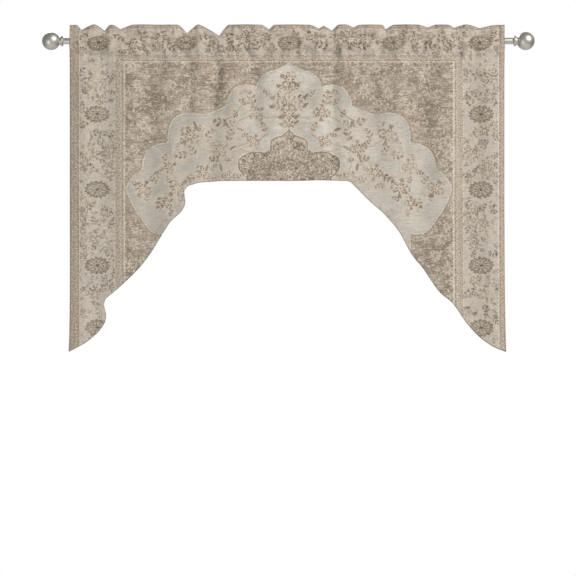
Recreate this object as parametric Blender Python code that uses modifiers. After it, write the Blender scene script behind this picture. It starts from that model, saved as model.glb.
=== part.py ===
"""A swag valance with two pointed tails, gathered on a round rod with ball finials.

The rod's axis runs along X at the origin, the cloth's printed face looks to -Y and +Z is up.
Sizes are in millimetres and become metres where a mesh is made.
"""

import math

import bpy
import numpy as np

MM = 0.001

# Rod: a straight tube, its ends hidden by the finials' collars.
ROD_RADIUS = 9.0
ROD_WALL = 1.0
ROD_HALF_LENGTH = 628.0
ROD_CHAMFER = 0.4
ROD_SIDES = 36

# Finial: a ball on a neck, a collar against the rod's end and a spigot inside it.
BALL_RADIUS = 25.0
BALL_CENTRE = 33.5
BALL_ARC_STEPS = 13
NECK_RADIUS = 11.0
NECK_START = 7.2
COLLAR_RADIUS = 14.7
COLLAR_ROUND = 1.6
COLLAR_SLOPE = 0.8
FIT_GAP = 0.3
SPIGOT_LENGTH = 20.0
SPIGOT_CHAMFER = 1.0
FINIAL_SIDES = 32

# Cloth: one sheet, its top turned over to the back.
CLOTH_THICKNESS = 1.0
LAYERS_APART = 3.0
LEFT_EDGE = -610.0
RIGHT_EDGE = 603.0
WIDEST_COLUMN = 22.0
CLOSEST_KEYS = 7.5

# Rod pocket: a stitched tube that rests on the rod and hangs loose below it.
POCKET_RADIUS = 10.7
POCKET_BOTTOM = -57.0
POCKET_TURNS = (100.0, 60.0, 20.0)
POCKET_MIDDLE = -30.0
POCKET_CLOSING = 1.2
BULGE_AT_MIDDLE = 0.8
BULGE_AT_ROD = 0.5
UPPER_SEAM = 12.6

# Heading: the double ruffle that stands above the upper seam.
HEADING_TOP = 46.0
HEADING_ROWS = (0.0, 0.34, 0.66, 0.93, 1.0)
HEADING_TURN = math.radians(52.0)
HEADING_TURN_GROWTH = 0.6
HEADING_TURN_POWER = 0.6
HEADING_PINCH = 1.3
HEADING_SWAY_POWER = 1.5
HEADING_SAMPLES = 60

# Where the heading flops back and dips.
# x, drop of its top edge, reach to the left, reach to the right
HEADING_DIPS = (
    (-577.0, 14.0, 14.0, 32.0),
    (-512.0, 17.0, 26.0, 13.0),
    (-469.0, 12.0, 20.0, 36.0),
    (-283.0, 24.0, 24.0, 30.0),
    (-193.0, 31.4, 56.0, 26.0),
    (-54.0, 13.0, 20.0, 15.0),
    (85.0, 10.0, 24.0, 20.0),
    (122.0, 16.0, 30.0, 18.0),
    (182.0, 7.0, 20.0, 16.0),
    (272.0, 12.0, 10.0, 22.0),
    (389.0, 7.0, 26.0, 22.0),
    (462.0, 8.0, 16.0, 28.0),
    (534.0, 9.0, 34.0, 44.0),
)

# How the heading sways between its dips.
# x, sway to the front of its top edge, half-width
HEADING_SWAYS = (
    (-606.0, -5.0, 26.0),
    (-540.0, 6.0, 30.0),
    (-490.0, -3.0, 26.0),
    (-405.0, 7.0, 52.0),
    (-330.0, 3.0, 40.0),
    (-246.0, 5.0, 32.0),
    (-120.0, 8.0, 56.0),
    (8.0, 6.0, 62.0),
    (152.0, 7.0, 26.0),
    (228.0, 5.0, 40.0),
    (330.0, 8.0, 46.0),
    (428.0, 5.0, 34.0),
    (498.0, 5.0, 34.0),
    (585.0, -4.0, 34.0),
)

# Crumples of the pocket where the cloth is gathered.
# x, how far the front bulges, how far the back bulges, half-width
POCKET_BULGES = (
    (-560.0, 1.5, 3.0, 30.0),
    (-500.0, 3.0, 1.0, 24.0),
    (-420.0, 2.0, 4.0, 44.0),
    (-330.0, 4.0, 2.0, 34.0),
    (-245.0, 4.5, 3.0, 30.0),
    (-150.0, 3.0, 4.0, 36.0),
    (-85.0, 4.0, 1.0, 26.0),
    (-20.0, 2.0, 3.0, 34.0),
    (50.0, 4.0, 2.0, 30.0),
    (150.0, 4.5, 3.5, 34.0),
    (230.0, 2.0, 3.0, 30.0),
    (310.0, 4.0, 2.0, 32.0),
    (425.0, 3.0, 4.0, 38.0),
    (500.0, 2.5, 1.5, 30.0),
    (560.0, 3.5, 2.0, 28.0),
)

# Folds that fall from the gathers. A ridge stands to the front, a trough (below 0) to the back.
# x at the rod, x at its foot, top, foot, half-width, height
FOLDS = (
    (-566.0, -580.0, -40.0, -860.0, 36.0, 6.0),
    (-505.0, -530.0, -30.0, -800.0, 34.0, -6.0),
    (-446.0, -438.0, -20.0, -690.0, 44.0, 7.5),
    (-382.0, -390.0, -40.0, -620.0, 32.0, -5.0),
    (-326.0, -318.0, -30.0, -520.0, 38.0, 6.0),
    (-247.0, -262.0, 10.0, -400.0, 34.0, 7.0),
    (-200.0, -213.0, 20.0, -240.0, 22.0, -9.0),
    (-150.0, -160.0, -20.0, -390.0, 34.0, 5.0),
    (-92.0, -100.0, -40.0, -390.0, 28.0, -4.5),
    (-38.0, -30.0, -40.0, -390.0, 36.0, 5.5),
    (30.0, 22.0, -40.0, -390.0, 34.0, -4.0),
    (88.0, 92.0, -30.0, -390.0, 34.0, 5.0),
    (128.0, 120.0, 0.0, -300.0, 24.0, -5.5),
    (172.0, 160.0, -20.0, -390.0, 34.0, 6.0),
    (236.0, 240.0, -40.0, -450.0, 32.0, -4.5),
    (306.0, 300.0, -30.0, -520.0, 40.0, 6.5),
    (380.0, 372.0, -40.0, -620.0, 34.0, -5.5),
    (440.0, 436.0, -20.0, -700.0, 40.0, 6.5),
    (505.0, 515.0, -40.0, -790.0, 34.0, -5.0),
    (560.0, 578.0, -40.0, -860.0, 34.0, 6.0),
)
FOLD_RISE = 70.0
FOLD_FADE = 0.35
FOLD_WIDENING = 0.35
FOLD_PAST_FOOT = 1.3

# The side edges roll a little to the back, and each tail swings off the plane of the cloth.
EDGE_ROLL = 6.0
EDGE_ROLL_REACH = 16.0
TAIL_START = -400.0
TAIL_LENGTH = 467.0
LEFT_TAIL_SWING = 12.0
RIGHT_TAIL_SWING = -9.0

# Lower hem, from the left tail's tip to the right tail's tip.
# x at the rod of the thread that reaches it, x, z
HEM = (
    (-610.0, -614.0, -867.0),
    (-598.0, -594.0, -857.0),
    (-583.0, -559.0, -836.0),
    (-571.0, -528.0, -808.0),
    (-562.0, -513.0, -785.0),
    (-554.0, -509.0, -767.0),
    (-545.0, -512.0, -750.0),
    (-536.0, -515.0, -735.0),
    (-526.0, -510.0, -719.0),
    (-512.0, -491.0, -703.0),
    (-484.0, -461.0, -677.0),
    (-448.0, -419.0, -636.0),
    (-410.0, -383.0, -589.0),
    (-372.0, -346.0, -530.0),
    (-350.0, -324.0, -499.0),
    (-334.0, -298.0, -475.0),
    (-322.0, -287.0, -452.0),
    (-313.0, -289.0, -433.0),
    (-306.0, -290.0, -419.0),
    (-297.0, -283.0, -408.0),
    (-277.0, -262.0, -399.0),
    (-226.0, -212.0, -392.0),
    (-150.0, -150.0, -390.0),
    (0.0, 0.0, -390.0),
    (130.0, 144.0, -390.0),
    (158.0, 172.0, -393.0),
    (180.0, 189.0, -409.0),
    (212.0, 221.0, -441.0),
    (266.0, 274.0, -490.0),
    (300.0, 311.0, -536.0),
    (325.0, 338.0, -586.0),
    (370.0, 376.0, -635.0),
    (414.0, 421.0, -700.0),
    (450.0, 459.0, -733.0),
    (484.0, 494.0, -783.0),
    (522.0, 531.0, -824.0),
    (560.0, 568.0, -851.0),
    (603.0, 607.0, -867.0),
)
HEM_PULL = 7.0
SEAM_BLEND = 6.0
BODY_ROWS = 11

SATIN_NICKEL = (0.40, 0.38, 0.34, 1.0)
PRINTED_CLOTH = (0.47, 0.42, 0.35, 1.0)


def smooth_step(value):
    """0 below 0 and 1 above 1, with soft ends."""
    held = np.clip(value, 0.0, 1.0)
    return held * held * (3.0 - 2.0 * held)


def round_bump(offset):
    """1 at 0, falling to 0 at -1 and 1 like half a wave."""
    return 0.5 * (1.0 + np.cos(math.pi * np.clip(offset, -1.0, 1.0)))


def through_points(keys, values, at):
    """A smooth curve through a table's points, read at the given keys."""
    keys = np.asarray(keys, float)
    values = np.asarray(values, float)
    slopes = np.gradient(values, keys)
    place = np.clip(np.searchsorted(keys, at, side="right") - 1, 0, len(keys) - 2)
    width = keys[place + 1] - keys[place]
    share = (at - keys[place]) / width
    level = values[place] + (values[place + 1] - values[place]) * share**2 * (3 - 2 * share)
    leaving = slopes[place] * width * share * (1 - share) ** 2
    arriving = slopes[place + 1] * width * share**2 * (share - 1)
    return level + leaving + arriving


def columns():
    """Where the threads that are modelled cross the rod: one at each key place and more in wide gaps."""
    kept = sorted([LEFT_EDGE, RIGHT_EDGE] + [x for x, *_ in HEADING_DIPS])
    also = [x for x, *_ in HEM]
    also += [x - left for x, _, left, _ in HEADING_DIPS]
    also += [x + right for x, _, _, right in HEADING_DIPS]
    for x in sorted(also):
        if LEFT_EDGE < x < RIGHT_EDGE and min(abs(x - other) for other in kept) >= CLOSEST_KEYS:
            kept = sorted(kept + [x])
    places = [kept[0]]
    for start, end in zip(kept, kept[1:]):
        pieces = math.ceil((end - start) / WIDEST_COLUMN)
        places += [start + (end - start) * (k + 1) / pieces for k in range(pieces)]
    return np.array(places)


def heading_drop(x):
    """How far the heading's top edge falls below its full height."""
    drop = np.zeros_like(x)
    for centre, depth, left, right in HEADING_DIPS:
        reach = np.where(x < centre, left, right)
        pinch = np.clip(1.0 - np.abs(x - centre) / reach, 0.0, 1.0) ** HEADING_PINCH
        drop = np.maximum(drop, depth * pinch)
    return drop


def heading_sway(x):
    """How far the heading's top edge stands to the front."""
    return sum(sway * round_bump((x - centre) / half) for centre, sway, half in HEADING_SWAYS)


def heading_line(x):
    """The middle line of the heading's two layers: y and z, from the upper seam to the top."""
    full = HEADING_TOP - CLOTH_THICKNESS / 2 - UPPER_SEAM
    wanted = (full - heading_drop(x)) / full
    share = np.linspace(0.0, 1.0, HEADING_SAMPLES)
    most = HEADING_TURN * (1.0 - wanted[:, None]) ** HEADING_TURN_GROWTH
    turn = most * share[None, :] ** HEADING_TURN_POWER
    step = 1.0 / (HEADING_SAMPLES - 1)
    up = np.concatenate([np.zeros((len(x), 1)), np.cumsum(np.cos(turn[:, 1:]) * step, axis=1)], axis=1)
    back = np.concatenate([np.zeros((len(x), 1)), np.cumsum(np.sin(turn[:, 1:]) * step, axis=1)], axis=1)
    scale = full * wanted / up.max(axis=1)
    sway = heading_sway(x)[:, None] * share[None, :] ** HEADING_SWAY_POWER
    return back * scale[:, None] - sway, UPPER_SEAM + up * scale[:, None]


def pocket_bulge(x, side):
    """Extra room of the pocket in front of (side 0) or behind (side 1) the rod."""
    return sum(row[1 + side] * round_bump((x - row[0]) / row[3]) for row in POCKET_BULGES)


def fold_depth(x, z):
    """y of the hanging cloth, with its folds, rolled edges and swung tails."""
    y = np.zeros_like(x)
    for at_rod, at_foot, top, foot, half, height in FOLDS:
        down = np.clip((top - z) / (top - foot), 0.0, FOLD_PAST_FOOT)
        centre = at_rod + (at_foot - at_rod) * down
        strength = smooth_step((top - z) / FOLD_RISE) * (1.0 - FOLD_FADE * smooth_step(down))
        reach = half * (1.0 + FOLD_WIDENING * down)
        y -= height * strength * round_bump((x - centre) / reach)
    for edge in (LEFT_EDGE, RIGHT_EDGE):
        y += EDGE_ROLL * np.exp(-np.abs(x - edge) / EDGE_ROLL_REACH)
    low = smooth_step((TAIL_START - z) / TAIL_LENGTH)
    y += low * np.where(x < 0.0, LEFT_TAIL_SWING, RIGHT_TAIL_SWING)
    return y


def pocket_rows(x, side):
    """Rows of the pocket's front (side 0) or back (side 1), from its lower seam up to the heading."""
    sign = -1.0 if side == 0 else 1.0
    low_y = fold_depth(x, np.full_like(x, POCKET_BOTTOM))
    half_gap = LAYERS_APART / 2
    first_turn = math.radians(POCKET_TURNS[0])
    leaves_rod = POCKET_RADIUS * math.cos(first_turn)
    widest = POCKET_RADIUS * math.sin(first_turn)
    rows = []
    down = (leaves_rod - POCKET_MIDDLE) / (leaves_rod - POCKET_BOTTOM)
    open_half = half_gap + (widest - half_gap) * (1.0 - down) ** POCKET_CLOSING
    bulge = pocket_bulge(x, side)
    y = low_y * down + sign * (open_half + bulge * BULGE_AT_MIDDLE)
    rows.append((x, y, np.full_like(x, POCKET_MIDDLE)))
    for turn in POCKET_TURNS:
        angle = math.radians(turn)
        out = POCKET_RADIUS * math.sin(angle)
        loose = bulge * BULGE_AT_ROD * smooth_step(angle / first_turn)
        rows.append((x, sign * (out + loose), np.full_like(x, POCKET_RADIUS * math.cos(angle))))
    return rows


def surface_normals(y, z, x):
    """Unit normals, to the back, of a surface given as rows of points at the columns' x."""
    along = np.stack([np.ones_like(y), np.gradient(y, x, axis=1), np.gradient(z, x, axis=1)])
    up = np.stack([np.zeros_like(y), np.gradient(y, axis=0), np.gradient(z, axis=0)])
    normal = np.cross(up, along, axis=0)
    return normal / np.linalg.norm(normal, axis=0)


def heading_rows(x):
    """Rows of the heading: up its front, over its top fold and down its back."""
    line_y, line_z = heading_line(x)
    kept = [int(round(share * (HEADING_SAMPLES - 1))) for share in HEADING_ROWS]
    y, z = line_y[:, kept].T, line_z[:, kept].T
    across, depth, height = surface_normals(y, z, x) * LAYERS_APART / 2
    front = [(x - across[r], y[r] - depth[r], z[r] - height[r]) for r in range(len(kept) - 1)]
    back = [(x + across[r], y[r] + depth[r], z[r] + height[r]) for r in range(len(kept) - 1)]
    return front + [(x, y[-1], z[-1])] + back[::-1]


def body_rows(x):
    """Rows of the hanging cloth, from the hem up to the pocket's lower seam."""
    keys, hem_x, hem_z = np.array(HEM).T
    foot_x = through_points(keys, hem_x, x)
    foot_z = through_points(keys, hem_z, x)
    rows = []
    for down in np.linspace(1.0, 0.0, BODY_ROWS):
        row_x = x + (foot_x - x) * down**HEM_PULL
        row_z = POCKET_BOTTOM + (foot_z - POCKET_BOTTOM) * down
        front = -LAYERS_APART / 2 * (1.0 - smooth_step(down * SEAM_BLEND))
        rows.append((row_x, fold_depth(row_x, row_z) + front, row_z))
    return rows


def cloth_rows():
    """The whole sheet as rows of points, from the hem up the front, over the heading and down the back."""
    x = columns()
    low_y = fold_depth(x, np.full_like(x, POCKET_BOTTOM))
    loose_end = (x, low_y + LAYERS_APART / 2, np.full_like(x, POCKET_BOTTOM))
    back = pocket_rows(x, 1)[::-1] + [loose_end]
    return body_rows(x) + pocket_rows(x, 0) + heading_rows(x) + back


def material(name, colour, roughness, metallic):
    made = bpy.data.materials.new(name)
    made.use_nodes = True
    shader = made.node_tree.nodes["Principled BSDF"]
    shader.inputs["Base Color"].default_value = colour
    shader.inputs["Roughness"].default_value = roughness
    shader.inputs["Metallic"].default_value = metallic
    return made


def add_object(name, points, edges, faces, surface, collection):
    mesh = bpy.data.meshes.new(name)
    mesh.from_pydata([tuple(MM * value for value in point) for point in points], edges, faces)
    mesh.materials.append(surface)
    added = bpy.data.objects.new(name, mesh)
    collection.objects.link(added)
    return added


def turn_profile(turned, sides):
    """Spins an outline in the XZ plane about Z into a closed solid."""
    screw = turned.modifiers.new("Turned", "SCREW")
    screw.axis = "Z"
    screw.steps = sides
    screw.render_steps = sides
    screw.use_merge_vertices = True
    screw.merge_threshold = 0.00001
    screw.use_smooth_shade = True


def build_rod(collection):
    """A tube along X, with chamfered ends."""
    outer, inner = ROD_RADIUS, ROD_RADIUS - ROD_WALL
    end, cut = ROD_HALF_LENGTH, ROD_CHAMFER
    outline = [
        (outer - cut, end),
        (outer, end - cut),
        (outer, cut - end),
        (outer - cut, -end),
        (inner, -end),
        (inner, end),
    ]
    points = [(radius, 0.0, along) for radius, along in outline]
    edges = [(k, (k + 1) % len(points)) for k in range(len(points))]
    rod = add_object("rod", points, edges, [], material("rod metal", SATIN_NICKEL, 0.32, 1.0), collection)
    turn_profile(rod, ROD_SIDES)
    rod.rotation_euler = (0.0, math.pi / 2, 0.0)


def finial_outline():
    """Radius and distance past the rod's end, from the ball's far pole to the spigot's end."""
    meets_neck = math.asin(NECK_RADIUS / BALL_RADIUS)
    spigot = ROD_RADIUS - ROD_WALL - FIT_GAP
    outline = []
    for k in range(BALL_ARC_STEPS):
        angle = (math.pi - meets_neck) * k / (BALL_ARC_STEPS - 1)
        outline.append((BALL_RADIUS * math.sin(angle), BALL_CENTRE + BALL_RADIUS * math.cos(angle)))
    outline += [
        (NECK_RADIUS, NECK_START),
        (COLLAR_RADIUS - COLLAR_ROUND, NECK_START - COLLAR_SLOPE),
        (COLLAR_RADIUS, NECK_START - COLLAR_SLOPE - COLLAR_ROUND),
        (COLLAR_RADIUS, FIT_GAP + COLLAR_ROUND),
        (COLLAR_RADIUS - COLLAR_ROUND, FIT_GAP),
        (spigot, FIT_GAP),
        (spigot, SPIGOT_CHAMFER - SPIGOT_LENGTH),
        (spigot - SPIGOT_CHAMFER, -SPIGOT_LENGTH),
        (0.0, -SPIGOT_LENGTH),
    ]
    return outline


def build_finial(name, side, collection):
    """A turned finial at the rod's right (side 1) or left (side -1) end."""
    points = [(radius, 0.0, along) for radius, along in finial_outline()]
    edges = [(k, k + 1) for k in range(len(points) - 1)]
    surface = material(name + " metal", SATIN_NICKEL, 0.30, 1.0)
    finial = add_object(name, points, edges, [], surface, collection)
    turn_profile(finial, FINIAL_SIDES)
    finial.location = (side * ROD_HALF_LENGTH * MM, 0.0, 0.0)
    finial.rotation_euler = (0.0, side * math.pi / 2, 0.0)


def build_panel(collection):
    """The cloth: its middle surface as a grid, thickened to both sides."""
    rows = cloth_rows()
    across = len(rows[0][0])
    points = [point for row in rows for point in zip(*row)]
    faces = [
        (r * across + c, r * across + c + 1, (r + 1) * across + c + 1, (r + 1) * across + c)
        for r in range(len(rows) - 1)
        for c in range(across - 1)
    ]
    surface = material("printed cloth", PRINTED_CLOTH, 0.9, 0.0)
    panel = add_object("swag_panel", points, [], faces, surface, collection)
    panel.data.shade_smooth()
    shell = panel.modifiers.new("Cloth", "SOLIDIFY")
    shell.thickness = CLOTH_THICKNESS * MM
    shell.offset = 0.0
    shell.use_even_offset = False
    shell.use_rim = True


def main():
    for old in list(bpy.data.objects):
        bpy.data.objects.remove(old, do_unlink=True)
    parts = bpy.data.collections.new("swag and tail drape")
    bpy.context.scene.collection.children.link(parts)
    build_rod(parts)
    build_finial("finial_left", -1, parts)
    build_finial("finial_right", 1, parts)
    build_panel(parts)


main()
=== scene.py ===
"""Looks of the swag and tail drape: printed cloth gathered on a satin nickel rod with ball finials.

The rod's axis is the X axis, the printed face looks to -Y and +Z is up. Sizes are in millimetres and
become metres where a mesh is made.
"""

import math

import bmesh
import bpy
import numpy as np
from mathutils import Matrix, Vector


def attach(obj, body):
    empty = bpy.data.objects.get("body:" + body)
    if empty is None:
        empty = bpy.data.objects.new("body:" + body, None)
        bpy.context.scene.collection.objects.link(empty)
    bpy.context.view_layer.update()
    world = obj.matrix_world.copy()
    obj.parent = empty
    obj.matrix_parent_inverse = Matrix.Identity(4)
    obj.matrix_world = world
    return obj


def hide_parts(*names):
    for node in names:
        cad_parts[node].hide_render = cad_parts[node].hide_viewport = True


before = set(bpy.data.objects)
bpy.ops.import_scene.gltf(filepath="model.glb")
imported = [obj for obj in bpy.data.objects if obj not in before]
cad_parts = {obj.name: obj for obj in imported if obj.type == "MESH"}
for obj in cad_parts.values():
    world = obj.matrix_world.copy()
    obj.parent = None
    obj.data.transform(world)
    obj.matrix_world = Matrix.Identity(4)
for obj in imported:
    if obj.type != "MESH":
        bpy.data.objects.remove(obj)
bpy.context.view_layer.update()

MM = 0.001

# Sizes of the cloth. It hangs as its solid does and is thinner.

CLOTH_THICKNESS = 0.7
LAYERS_APART = 3.0
LEFT_EDGE = -610.0
RIGHT_EDGE = 603.0

POCKET_RADIUS = 10.7
POCKET_BOTTOM = -57.0
POCKET_FIRST_TURN = math.radians(100.0)
POCKET_LAST_TURN = math.radians(20.0)
POCKET_CLOSING = 1.2
POCKET_CREASE_FADE = 16.0
UPPER_SEAM = 12.6

HEADING_TOP = 45.5
HEADING_TURN = math.radians(52.0)
HEADING_TURN_GROWTH = 0.6
HEADING_TURN_POWER = 0.6
HEADING_PINCH = 1.3
HEADING_SWAY_POWER = 1.5
HEADING_LEAST = 0.02
HEADING_CREASE = 0.4
TOP_ROUNDING = 12
ROWS_TOWARD_TOP = 1.1

# x, drop of the heading's top edge, reach to the left, reach to the right
HEADING_DIPS = (
    (-577, 14, 14, 32), (-512, 17, 26, 13), (-469, 12, 20, 36), (-283, 24, 24, 30), (-193, 31.4, 56, 26),
    (-54, 13, 20, 15), (85, 10, 24, 20), (122, 16, 30, 18), (182, 7, 20, 16), (272, 12, 10, 22),
    (389, 7, 26, 22), (462, 8, 16, 28), (534, 9, 34, 44),
)

# x, sway to the front of the heading's top edge, half-width
HEADING_SWAYS = (
    (-606, -5, 26), (-540, 6, 30), (-490, -3, 26), (-405, 7, 52), (-330, 3, 40), (-246, 5, 32),
    (-120, 8, 56), (8, 6, 62), (152, 7, 26), (228, 5, 40), (330, 8, 46), (428, 5, 34), (498, 5, 34),
    (585, -4, 34),
)

# x, how far the pocket's front bulges, how far its back bulges, half-width
POCKET_BULGES = (
    (-560, 1.5, 3, 30), (-500, 3, 1, 24), (-420, 2, 4, 44), (-330, 4, 2, 34), (-245, 4.5, 3, 30),
    (-150, 3, 4, 36), (-85, 4, 1, 26), (-20, 2, 3, 34), (50, 4, 2, 30), (150, 4.5, 3.5, 34),
    (230, 2, 3, 30), (310, 4, 2, 32), (425, 3, 4, 38), (500, 2.5, 1.5, 30), (560, 3.5, 2, 28),
)
# How far down the pocket, share of the bulge
BULGE_WEIGHTS = ((0, 0.5), (0.51, 0.8), (1, 0))

# x at the rod, x at its foot, top, foot, half-width, height to the front
FOLDS = (
    (-566, -580, -40, -860, 36, 6), (-505, -530, -30, -800, 34, -6), (-446, -438, -20, -690, 44, 7.5),
    (-382, -390, -40, -620, 32, -5), (-326, -318, -30, -520, 38, 6), (-247, -262, 10, -400, 34, 7),
    (-200, -213, 20, -240, 22, -9), (-150, -160, -20, -390, 34, 5), (-92, -100, -40, -390, 28, -4.5),
    (-38, -30, -40, -390, 36, 5.5), (30, 22, -40, -390, 34, -4), (88, 92, -30, -390, 34, 5),
    (128, 120, 0, -300, 24, -5.5), (172, 160, -20, -390, 34, 6), (236, 240, -40, -450, 32, -4.5),
    (306, 300, -30, -520, 40, 6.5), (380, 372, -40, -620, 34, -5.5), (440, 436, -20, -700, 40, 6.5),
    (505, 515, -40, -790, 34, -5), (560, 578, -40, -860, 34, 6),
)
FOLD_RISE = 70.0
FOLD_FADE = 0.35
FOLD_WIDENING = 0.35
FOLD_PAST_FOOT = 1.3

EDGE_ROLL = 6.0
EDGE_ROLL_REACH = 16.0
TAIL_START = -400.0
TAIL_LENGTH = 467.0
LEFT_TAIL_SWING = 12.0
RIGHT_TAIL_SWING = -9.0

# x at the rod of the thread that reaches the hem there, x, z
HEM = (
    (-610, -614, -867), (-598, -594, -857), (-583, -559, -836), (-571, -528, -808), (-562, -513, -785),
    (-554, -509, -767), (-545, -512, -750), (-536, -515, -735), (-526, -510, -719), (-512, -491, -703),
    (-484, -461, -677), (-448, -419, -636), (-410, -383, -589), (-372, -346, -530), (-350, -324, -499),
    (-334, -298, -475), (-322, -287, -452), (-313, -289, -433), (-306, -290, -419), (-297, -283, -408),
    (-277, -262, -399), (-226, -212, -392), (-150, -150, -390), (0, 0, -390), (130, 144, -390),
    (158, 172, -393), (180, 189, -409), (212, 221, -441), (266, 274, -490), (300, 311, -536),
    (325, 338, -586), (370, 376, -635), (414, 421, -700), (450, 459, -733), (484, 494, -783),
    (522, 531, -824), (560, 568, -851), (603, 607, -867),
)
HEM_PULL = 7.0
HEM_SAMPLES = 160
SEAM_BLEND = 6.0

# Flat lengths between rows: past the upper seam in front and behind, and down the pocket's back
SEAM_STEP = 3.33
BACK_SEAM_STEP = 3.0
BACK_LENGTH = 76.0

# How finely the sheet is modelled
COLUMNS = 338
BODY_ROWS = 151
POCKET_ROWS = 13
ARC_ROWS = 9
HEADING_ROWS = 14
HEADING_SAMPLES = 600
BACK_ROWS = 7
REVERSE_BODY_STEP = 3
REVERSE_STEP = 2

# Soft creases pressed into the cloth: from x, z to x, z, bow to the side, width, depth (a ridge is below 0)
CREASES = (
    (-193, 14, -208, -190, 4, 9, 4.2), (-219, -2, -230, -54, -6, 8, 3.4), (-205, -4, -186, -52, 8, 7, -3),
    (-160, 2, -168, -50, -12, 8, 3.2), (-144, -6, -120, -50, 8, 9, -3.4), (-116, -8, -92, -54, -10, 8, 3),
    (-70, 10, -62, -46, -14, 7, 3.8), (-46, 8, -18, -44, 14, 7, 3.6), (-30, -10, -44, -52, -6, 9, -3.6),
    (6, 4, 2, -54, 6, 10, -2.6), (36, 0, 26, -52, -10, 8, 3), (60, -8, 78, -50, 8, 9, -3.2),
    (85, 14, 100, -44, 8, 8, 3.2), (122, 10, 134, -60, 8, 8, 3.8), (128, -60, 124, -240, -5, 12, 2.8),
    (158, -6, 150, -54, -8, 8, -3.4), (182, 14, 206, -44, 10, 8, 3), (222, -4, 232, -52, 6, 10, -3),
    (272, 12, 256, -50, -10, 8, 3.4), (296, -6, 304, -54, 6, 9, -3), (330, 2, 344, -56, 10, 9, 2.6),
    (389, 14, 374, -48, -10, 8, 3), (416, -4, 428, -52, 8, 10, -3), (462, 12, 476, -52, 10, 8, 3.2),
    (500, -4, 492, -54, -6, 9, -2.8), (534, 10, 520, -48, -8, 8, 3), (566, -2, 574, -54, 6, 9, 2.6),
    (-258, 0, -246, -52, 8, 9, -3.2), (-283, 10, -294, -54, 8, 8, 3.8), (-312, -8, -304, -50, -6, 9, -2.8),
    (-340, -2, -322, -56, 8, 9, 2.8), (-388, 4, -402, -52, -8, 9, 2.8), (-428, -4, -420, -54, 6, 10, -3),
    (-469, 12, -450, -48, 10, 8, 3.4), (-496, -6, -492, -50, -4, 8, -2.8),
    (-512, 10, -524, -52, -8, 8, 3.2), (-577, 10, -562, -56, 8, 8, 3), (-283, -60, -276, -210, 4, 12, 2.4),
    (-88, -62, -92, -250, -4, 12, 2.2), (-246, -62, -244, -190, 4, 12, -2.2),
    (236, -60, 232, -250, 4, 13, 2), (389, -60, 380, -300, -5, 13, 2.2),
    (-469, -60, -462, -280, 5, 13, 2.2), (-560, -80, -548, -330, 6, 12, 1.8),
    (520, -80, 528, -360, 6, 14, 1.8), (-470, -420, -500, -640, -10, 14, 2.2),
    (448, -420, 470, -640, 10, 14, 2.2),
)
CREASE_FADE = 0.3
CREASE_SHOULDER = 0.35
CREASE_SHOULDER_PLACE = 2.2
ROD_CLEARANCE = 10.0

# Metal. A corner is: along the axis (for a finial, past the rod's end), radius, rounding.

ROD_HALF_LENGTH = 628.0
ROD_CORNERS = ((-628, 8, 0.3), (-628, 9, 0.4), (628, 9, 0.4), (628, 8, 0.3))
BALL_RADIUS = 25.0
BALL_CENTRE = 33.5
BALL_STEPS = 49
NECK_RADIUS = 11.0
FINIAL_CORNERS = (
    (7.2, 11, 0.6), (6.4, 14.7, 1.6), (0.3, 14.7, 1.6), (0.3, 7.7, 0), (-19, 7.7, 0), (-20, 6.7, 0),
    (-20, 0, 0),
)
CORNER_STEPS = 7
TURN_STEPS = 96
SHARP_ANGLE = math.radians(32.0)

# How closely fine marks follow each other along X, Y and Z
DRAWN_MARKS = (14.0, 900.0, 900.0)
TURNED_MARKS = (2400.0, 60.0, 60.0)

# Sizes of the print: a faded medallion rug with a wide border between two guard stripes

PRINT_CENTRE = 2.0
FIELD_HALF = 456.0
FIELD_TOP = -60.0
TOP_BORDER_SQUEEZE = 1.31
BORDER_MIDDLE = 79.0
BORDER_X = FIELD_HALF + BORDER_MIDDLE
BORDER_Z = FIELD_TOP + BORDER_MIDDLE / TOP_BORDER_SQUEEZE

# Half of each medallion's outline, from its peak round to its foot: x, z, bow of the arc to the next point
MEDALLION = (
    (0, -60, -0.06), (44, -83, 0.18), (90, -128, 0.29), (175, -181, -0.04), (243, -206, 0.34),
    (337, -284, 0.24), (409, -358, 0.1), (454, -412, 0.05), (404, -506, 0.2), (338, -536, 0),
    (338, -760, 0), (0, -760, 0),
)
INNER_MEDALLION = (
    (0, -247, -0.04), (25, -267, 0.08), (51, -279, 0), (52, -306, 0), (66, -314, 0.12), (126, -319, 0.18),
    (141, -341, 0.16), (118, -380, 0), (128, -460, 0), (0, -460, 0),
)
ARC_POINTS = 9

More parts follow.
